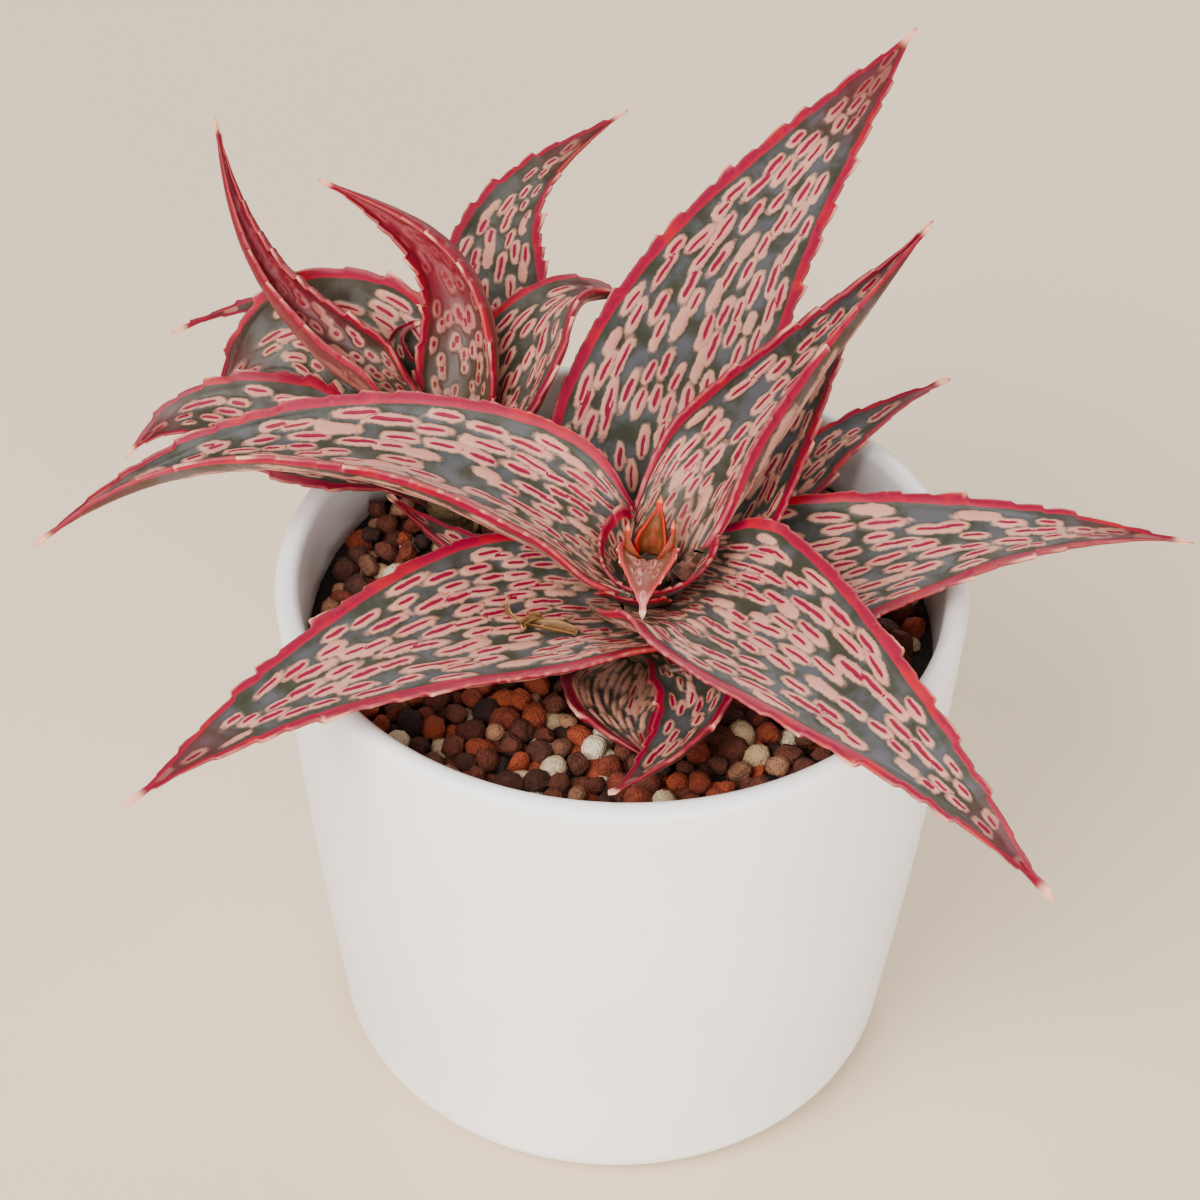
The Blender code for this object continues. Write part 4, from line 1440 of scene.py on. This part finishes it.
@dataclass(frozen=True)
class Glaze:
    """The satin white glaze: its colours, and the heights and radii (metres) of its marks."""

    white: Color = srgb(250, 248, 246)
    cream: Color = srgb(245, 242, 240)
    dust: Color = srgb(150, 122, 98)
    biscuit: Color = srgb(214, 204, 190)
    inside: tuple[float, float] = (0.0522, 0.0512)
    above: tuple[float, float] = (0.070, 0.075)
    grit_line: tuple[float, float] = (0.0925, 0.0845)
    foot_ring: tuple[float, float] = (0.0012, 0.0004)

    def material(self) -> Material:
        """Return the glaze, bare on the foot ring and dusty at the grit line.

        Returns:
            the material.
        """
        g = Surface("pot_glaze")
        where = g.where()
        z = g.node("ShaderNodeSeparateXYZ", {"Vector": where}).outputs["Z"]
        cloud, speck = g.noise(26.0, 3.0), g.noise(0.9)
        color = g.mix(g.step(cloud, 0.3, 0.7), self.white, self.cream)
        flat = g.node("ShaderNodeVectorMath", {0: where, 1: (1.0, 1.0, 0.0)}, operation="MULTIPLY")
        out = g.node("ShaderNodeVectorMath", {0: flat.outputs[0]}, operation="LENGTH")
        inside = g.times(g.step(out.outputs["Value"], *self.inside), g.step(z, *self.above))
        dust = g.times(g.step(z, *self.grit_line), g.step(cloud, 0.2, 0.7))
        color = g.mix(g.times(g.times(dust, inside), 0.5), color, self.dust)
        bare = g.step(z, *self.foot_ring)
        color = g.mix(bare, color, self.biscuit)
        rough = g.plus(g.plus(g.times(cloud, 0.1), 0.38), g.times(bare, 0.35))
        height = g.plus(g.times(cloud, 1.0), g.times(speck, 0.08))
        return g.close(color, rough, height, strength=0.1, deep=0.0002,
                       Coat_Weight=0.08, Coat_Roughness=0.3)


class GlazedPot:
    """The white pot: foot, wall, rounded lip, inside and drain holes."""

    SIDES = 192
    SHARP = 35

    def __init__(self, shape: PotShape) -> None:
        """Keep the pot's sizes."""
        self.shape = shape

    def section(self) -> tuple[Array, Array]:
        """Return the half section, from under the foot up the outside to the floor.

        Arcs are centre + radius (cos, sin); walls follow outer(z) and inner(z). The
        underside is hollowed within a foot ring.

        Returns:
            radii and heights.
        """
        p = self.shape
        ring = p.foot - p.corner - 6
        foot = np.radians(np.linspace(-90, 0, 13))
        lip = np.radians(np.linspace(0, 180, 19))
        bowl = np.radians(np.linspace(0, -90, 9))
        z_out = np.linspace(p.corner, p.height - p.lip, 26)[1:-1]
        z_in = np.linspace(p.height - p.lip, p.floor + p.bowl, 26)[1:-1]
        base = p.inner(np.array(p.floor + p.bowl)) - p.bowl
        radius = np.concatenate([
            [0, 12, 26, ring - 1.2, ring - 0.4, ring, ring + 0.6, ring + 3],
            p.foot - p.corner + p.corner * np.cos(foot), p.outer(z_out),
            p.rim - p.lip + p.lip * np.cos(lip), p.inner(z_in),
            base + p.bowl * np.cos(bowl), [26, 12, 0]])
        height = np.concatenate([
            [p.hollow] * 4, [0.65, 0.2, 0.02, 0.0],
            p.corner + p.corner * np.sin(foot), z_out,
            p.height - p.lip + p.lip * np.sin(lip), z_in,
            p.floor + p.bowl + p.bowl * np.sin(bowl), [p.floor] * 3])
        return radius, height

    def drill(self, blank: Object, turn: float) -> Object:
        """Cut a drain hole into the blank pot.

        Args:
            blank: the pot without holes.
            turn: the hole's azimuth in radians.

        Returns:
            the cutter.
        """
        p, bm = self.shape, bmesh.new()
        place = Matrix.Translation((p.drain_circle * MM * math.cos(turn),
                                    p.drain_circle * MM * math.sin(turn), p.drain_middle * MM))
        bmesh.ops.create_cone(bm, cap_ends=True, segments=32, radius1=p.drain * MM,
                              radius2=p.drain * MM, depth=p.drain_depth * MM, matrix=place)
        mesh = bpy.data.meshes.new("drain")
        bm.to_mesh(mesh)
        bm.free()
        hole = blank.modifiers.new("drain", "BOOLEAN")
        hole.object, hole.solver = MeshSheet.link("drain", mesh), "EXACT"
        return hole.object

    def build(self) -> Object:
        """Build the pot with its three drain holes.

        Returns:
            the piece.
        """
        radius, height = self.section()
        rings = MeshSheet.circles(radius[1:-1], height[1:-1], self.SIDES)
        blank = MeshSheet.stacked("pot_blank", rings, height[0], height[-1], self.SHARP)
        turns = [math.radians(90 + 120 * k) for k in range(self.shape.drains)]
        cutters = [self.drill(blank, turn) for turn in turns]
        bpy.context.view_layer.update()
        graph = bpy.context.evaluated_depsgraph_get()
        mesh = bpy.data.meshes.new_from_object(blank.evaluated_get(graph))
        for extra in (*cutters, blank):
            bpy.data.objects.remove(extra, do_unlink=True)
        mesh.name = "pot_glazed"
        MeshSheet.shade(mesh, self.SHARP)
        pot = MeshSheet.link("pot_glazed", mesh)
        mesh.materials.clear()
        mesh.materials.append(Glaze().material())
        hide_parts("pot")
        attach(pot, BODY)
        return pot


@dataclass(frozen=True)
class GrainFinish:
    """The colours and share of one kind of grain, and its sizes in millimetres."""

    light: Color
    dark: Color
    share: float = 0.0
    size: tuple[float, float] = (0, 0)
    pits: float = 1.0
    dent: float = 0.0


class Grain(Enum):
    """The kinds of grain in the grit."""

    CLAY = GrainFinish(srgb(160, 66, 33), srgb(74, 27, 15), 0.38, (2.6, 4.9), 0.9, 0.06)
    DARK = GrainFinish(srgb(108, 51, 31), srgb(38, 17, 11), 0.34, (2.6, 4.9), 0.9, 0.06)
    ASH = GrainFinish(srgb(178, 126, 92), srgb(98, 57, 37), 0.1, (2.4, 4.2), 0.8, 0.05)
    PUMICE = GrainFinish(srgb(240, 224, 190), srgb(196, 162, 118), 0.18, (3.8, 5.0), 0.8, 0.024)


class GritStone:
    """Makes the matt stone of bed and grains, whose materials share one node group."""

    # the painted shade in the pores: how dark, as a share of the dark colour, and how much of it
    # shows
    PIT_DARK, PIT_SHARE = 0.35, 0.55

    def __init__(self) -> None:
        """Make the group: a tone that changes from grain to grain and within each, and pits darkened
        with painted shade.
        """
        group = Group("grit_stone", ("light", "dark", "pit"), ("pits",))
        g, at = group.graph, group.inputs
        blot, pore = g.noise(1.6, 3.0), g.noise(0.35, 3.0)
        tone = g.plus(g.times(g.attribute("shade"), 0.7), g.times(blot, 0.6))
        color = g.mix(g.step(tone, 0.25, 1.05), at["dark"], at["light"])
        # painted shade: the pores darkened toward the pit colour
        color = g.mix(g.times(g.step(pore, 0.46, 0.34), at["pits"]), color, at["pit"])
        rough = g.plus(g.times(pore, 0.2), 0.72)
        self.group = group.close(color, rough, g.plus(blot, g.times(pore, 0.6)))

    def material(self, name: str, finish: GrainFinish) -> Material:
        """Return one stone.

        Args:
            name: the material's name.
            finish: its colours.

        Returns:
            the material.
        """
        values = {"light": finish.light, "dark": finish.dark,
                  "pit": tuple(c * self.PIT_DARK for c in finish.dark),
                  "pits": self.PIT_SHARE * finish.pits}
        return Surface(name).place(self.group, values, strength=1.0, deep=0.0009)


class GritBed:
    """The filling: a dark bed, whose darkness is partly painted shade for the gaps between grains,
    and over it grains of four kinds, in millimetres.
    """

    TOP = 84.6                # its level near the wall, in front
    CLEAR = 0.6               # between the grains and a leaf over them
    RISE = 1.1                # how far the grains' tops stand over the level
    SUNK = 2.8                # how far the bed lies under the level
    ROUGH = 0.35              # how rough the bed is
    REACH = 4.0               # round a point, where leaves are looked for
    GAP = 0.3                 # between the filling and the pot's wall
    FOOT_GAP = 4.5            # the same at the foot, where the pot is rounded inside
    FLARE = 9.0               # height from which the bed follows the wall
    PITCH = 4.3               # from one grain to the next
    LAYERS = ((0.0, 0.0), (-1.9, 0.5))                 # their lift, and their shift in pitches
    SHAKE = 0.9                                        # how far a grain is moved each way
    HEX = 0.866                                        # from row to row, in pitches
    SIDES, RINGS = 128, 46
    WALL = (6.0, 10.5, 33.0, 60.0, 76.0)               # heights of the bed's rings outside
    # the bed's colours: the lower grit, made darker as painted shade in the gaps between the grains
    BED = GrainFinish(srgb(64, 36, 25), srgb(28, 16, 12))

    def __init__(self, shape: PotShape, blades: list[Blade]) -> None:
        """Note where the leaves hang over the grit, and seed the grains.

        Args:
            shape: the pot's sizes.
            blades: the leaves' surfaces.
        """
        self.shape = shape
        self.stone = GritStone()
        self.rng = np.random.default_rng(SEED)
        s, a = np.meshgrid(np.linspace(0, 1, 48), np.linspace(-1, 1, 9), indexing="ij")
        ceiling = np.concatenate([b.under(s, a).reshape(-1, 3) for b in blades])
        self.ceiling = ceiling[np.hypot(ceiling[:, 0], ceiling[:, 1]) < shape.rim]
        self.edge = float(shape.inner(np.array(self.TOP))) - self.GAP

    def level(self, x: Array, y: Array) -> Array:
        """Return the grit's height: nearly flat, and held under the leaves.

        Args:
            x: places to the right.
            y: places toward the back.

        Returns:
            heights: up by 1.2 toward the back, down by 0.8 at the middle, and low enough
            for the grains under each leaf.
        """
        radius = np.hypot(x, y)
        level = self.TOP + 1.2 * smooth(y, 0, 45) - 0.8 * (1 - smooth(radius, 10, 45))
        gap = np.hypot(self.ceiling[:, 0, None] - x.ravel(), self.ceiling[:, 1, None] - y.ravel())
        roof = np.where(gap < self.REACH, self.ceiling[:, 2, None], 1e3).min(0).reshape(x.shape)
        return np.minimum(level, roof - self.CLEAR - self.RISE)

    def bed(self) -> Object:
        """Build the bed: a disc of rings whose top is rough and whose wall follows the pot.

        Its top lies SUNK under the grit's level, roughened by two crossed sines.

        Returns:
            the piece.
        """
        top = MeshSheet.circles(np.linspace(self.edge, 0, self.RINGS, endpoint=False), 0, self.SIDES)
        x, y = top[..., 0], top[..., 1]
        rough = self.ROUGH * np.sin(2.1 * x + 1.3 * y) * np.sin(1.7 * y - 0.8 * x)
        top[..., 2] = self.level(x, y) - self.SUNK + rough
        heights = np.array(self.WALL)
        gaps = np.where(heights == heights[0], self.FOOT_GAP, self.GAP)
        radius = self.shape.inner(np.maximum(heights, self.FLARE)) - gaps
        rings = np.concatenate([MeshSheet.circles(radius, heights, self.SIDES), top])
        bed = MeshSheet.stacked("grit_bed", rings, heights[0], top[-1, :, 2].mean(), sharp=80)
        bed.data.materials.append(self.stone.material("grit_bed", self.BED))
        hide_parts("grit")
        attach(bed, BODY)
        return bed

    def places(self) -> tuple[Array, Array]:
        """Return a shaken hexagonal grid of grains in two layers.

        Returns:
            the places of their tops, and their sizes from 0 to 1.
        """
        rng, pitch = self.rng, self.PITCH
        count = int(self.edge / pitch / self.HEX) + 2
        i, j = np.meshgrid(np.arange(-count, count + 1), np.arange(-count, count + 1),
                           indexing="ij")
        found, sizes = [], []
        for lift, shift in self.LAYERS:
            x = (j + 0.5 * (i % 2) + shift) * pitch
            y = (i + shift * 0.66) * pitch * self.HEX
            x = (x + rng.uniform(-self.SHAKE, self.SHAKE, x.shape)).ravel()
            y = (y + rng.uniform(-self.SHAKE, self.SHAKE, y.shape)).ravel()
            size = rng.uniform(0, 1, x.shape)
            keep = np.hypot(x, y) < self.edge - 1.6 - size
            x, y, size = x[keep], y[keep], size[keep]
            found.append(np.stack([x, y, self.level(x, y) + self.RISE + lift], -1))
            sizes.append(size)
        return np.concatenate(found), np.concatenate(sizes)

    def build(self) -> list[Object]:
        """Build the bed and one piece for each kind of grain.

        Returns:
            the pieces.
        """
        pieces = [self.bed()]
        places, sizes = self.places()
        shares = np.array([kind.value.share for kind in Grain])
        kind_of = self.rng.choice(len(shares), len(places), p=shares / shares.sum())
        for number, kind in enumerate(Grain):
            chosen = kind_of == number
            low, high = kind.value.size
            pieces.append(self.grains(kind, places[chosen], low + (high - low) * sizes[chosen]))
        return pieces

    def grains(self, kind: Grain, places: Array, diameter: Array) -> Object:
        """Build all grains of one kind as one piece.

        Each is a ball of 80 faces, stretched along its own axes by 0.82 to 1.15,
        dented by a sum of seeded sines of its corners' directions, and turned.

        Args:
            kind: the kind of grain.
            places: where the grains' tops are.
            diameter: their sizes.

        Returns:
            the piece.
        """
        bm = bmesh.new()
        bmesh.ops.create_icosphere(bm, subdivisions=2, radius=0.5)
        ball = np.array([v.co for v in bm.verts])
        tris = np.array([[v.index for v in f.verts] for f in bm.faces])
        bm.free()
        rng, n = self.rng, len(places)
        stretch = rng.uniform(0.82, 1.15, (n, 1, 3))
        wave = unit(rng.normal(size=(n, 6, 3))) * rng.uniform(4, 11, (n, 6, 1))
        phase = rng.uniform(0, 6.28, (n, 1, 6))
        dents = np.sin(np.einsum("vc,nkc->nvk", ball, wave) + phase).sum(-1) * kind.value.dent
        shape = ball[None] * stretch * (1 + dents[..., None]) * diameter[:, None, None]
        axes = np.linalg.qr(rng.normal(size=(n, 3, 3)))[0]
        axes *= np.sign(np.linalg.det(axes))[:, None, None]
        shape = np.einsum("nvc,ncd->nvd", shape, axes)
        centre = places.copy()
        centre[:, 2] -= diameter / 2
        points = (shape + centre[:, None]).reshape(-1, 3)
        faces = (tris[None] + (np.arange(n) * len(ball))[:, None, None]).reshape(-1, 3)
        shade = np.repeat(rng.random(n), len(ball))
        name = "grains_" + kind.name.lower()
        obj = MeshSheet.mesh(name, points, np.zeros((0, 4), int), faces, {"shade": shade}, 32)
        obj.data.materials.append(self.stone.material(name, kind.value))
        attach(obj, BODY)
        return obj


@dataclass(frozen=True)
class StemBark:
    """The ringed, papery bark of the two short stems, which keep their solids."""

    dark: Color = srgb(74, 58, 38)
    pale: Color = srgb(112, 92, 62)
    crack: Color = srgb(62, 40, 28)
    squeeze: tuple[float, float, float] = (0.15, 0.15, 1.0)    # of the noise, into rings

    def dress(self, frame: dict) -> None:
        """Give both stems their bark.

        Args:
            frame: the loaded frame.
        """
        g = Surface("stem_bark")
        rings, fibre = g.noise(1.4, 3.0, self.squeeze), g.noise(0.5)
        color = g.mix(g.step(rings, 0.4, 0.62), self.dark, self.pale)
        color = g.mix(g.times(g.step(fibre, 0.55, 0.7), 0.5), color, self.crack)
        bark = g.close(color, g.plus(g.times(fibre, 0.2), 0.65), g.plus(rings, g.times(fibre, 0.4)),
                       strength=0.7, deep=0.0005)
        for name in ("stem", "offset_stem"):
            slots = frame["nodes"][name].data.materials
            slots.clear()
            slots.append(bark)


@dataclass(frozen=True)
class Lamp:
    """A square soft light: where it hangs and its side in metres, its watts and its colour."""

    name: str
    place: Place
    size: float
    power: float
    color: Color


@dataclass(frozen=True)
class Studio:
    """Floor, lights and camera."""

    focal: float = 90.0                       # mm
    sensor: float = 36.0                      # mm
    stand: Place = (-3.44, -360.6, 405.5)     # of the camera, mm
    pitch: float = 41.35                      # degrees below the horizon
    roll: float = 1.12                        # degrees
    floor_half: float = 3000.0                # mm
    floor_color: Color = srgb(226, 206, 180)
    surroundings: Color = (0.95, 0.92, 0.88)
    glow: float = 0.6
    middle: Place = (0.0, 0.0, 0.09)          # of the plant, which the lamps face
    lamps: tuple[Lamp, ...] = (
        Lamp("key", (-0.7, -0.8, 1.1), 0.9, 36.0, (1.0, 0.97, 0.93)),
        Lamp("fill", (0.35, -1.5, 0.3), 1.3, 42.0, (1.0, 0.98, 0.97)),
        Lamp("back", (0.3, 1.1, 0.9), 0.8, 12.0, (1.0, 0.95, 0.9)))

    @staticmethod
    def placed(axes: tuple[Array, Array, Array], place: Array) -> Matrix:
        """Return the matrix that turns x, y and z to three directions and moves to a place."""
        rows = zip(np.stack(axes, 1), place)
        return Matrix([(*row, p) for row, p in rows] + [(0, 0, 0, 1)])

    def floor(self) -> None:
        """Lay the plain pale floor."""
        h = self.floor_half
        points = np.array([[-h, -h, 0], [h, -h, 0], [h, h, 0], [-h, h, 0]])
        floor = MeshSheet.mesh("studio_floor", points, np.array([[0, 1, 2, 3]]),
                               np.zeros((0, 3), int))
        g = Surface("studio_floor")
        cloud = g.noise(220.0)
        color = g.mix(cloud, self.floor_color, tuple(c * 0.97 for c in self.floor_color))
        floor.data.materials.append(g.close(color, g.plus(g.times(cloud, 0.1), 0.6)))

    def lights(self) -> None:
        """Hang the lights, which face the plant, and set the pale surroundings."""
        for lamp in self.lamps:
            light = bpy.data.lights.new(lamp.name, "AREA")
            light.shape, light.size = "SQUARE", lamp.size
            light.energy, light.color = lamp.power, lamp.color
            away = unit(np.array(lamp.place) - np.array(self.middle))
            side = unit(np.cross([0.0, 0.0, 1.0], away))
            axes = (side, np.cross(away, side), away)
            MeshSheet.link(lamp.name, light).matrix_world = self.placed(axes, lamp.place)
        world = bpy.data.worlds.new("studio")
        world.use_nodes = True
        back = world.node_tree.nodes["Background"]
        back.inputs["Color"].default_value = (*self.surroundings, 1)
        back.inputs["Strength"].default_value = self.glow
        bpy.context.scene.world = world

    def camera(self) -> None:
        """Set up the camera at the photograph's place and angle."""
        data = bpy.data.cameras.new("camera")
        data.lens, data.sensor_width, data.sensor_fit = self.focal, self.sensor, "HORIZONTAL"
        data.clip_start, data.clip_end = 0.01, 20.0
        dip, turn = math.radians(self.pitch), math.radians(self.roll)
        ahead = np.array([0, math.cos(dip), -math.sin(dip)])
        right = np.array([1.0, 0, 0])
        up = np.cross(right, ahead)
        side = right * math.cos(turn) + up * math.sin(turn)
        top = -right * math.sin(turn) + up * math.cos(turn)
        camera = MeshSheet.link("camera", data)
        camera.matrix_world = self.placed((side, top, -ahead), np.array(self.stand) * MM)
        bpy.context.scene.camera = camera

    def build(self) -> None:
        """Build floor, lights and camera."""
        self.floor()
        self.lights()
        self.camera()


def report(piece: Object) -> int:
    """Log a piece and return its triangles.

    Args:
        piece: the piece.

    Returns:
        how many triangles it has.
    """
    mesh = piece.data
    mesh.calc_loop_triangles()
    LOG.info("%s: %d triangles", piece.name, len(mesh.loop_triangles))
    return len(mesh.loop_triangles)


def main() -> None:
    """Build every piece around the frame."""
    logging.basicConfig(level=logging.INFO, format="%(name)s: %(message)s")
    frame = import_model()
    blades = [Blade(leaf) for leaf in LEAVES]
    shape = PotShape()
    total = report(GlazedPot(shape).build())
    total += sum(report(piece) for piece in GritBed(shape, blades).build())
    StemBark().dress(frame)
    paint = LeafPaint()
    for number, blade in enumerate(blades + [Blade(bud) for bud in BUDS]):
        leaf = AloeLeaf(blade, SEED + SEED_STEP * number)
        total += report(leaf.build(paint.materials[blade.leaf.skin]))
    total += sum(report(cup.build(paint.materials[Skin.MAIN])) for cup in CUPS)
    Studio().build()
    LOG.info("triangles in all: %d", total)


if __name__ == "__main__":
    main()
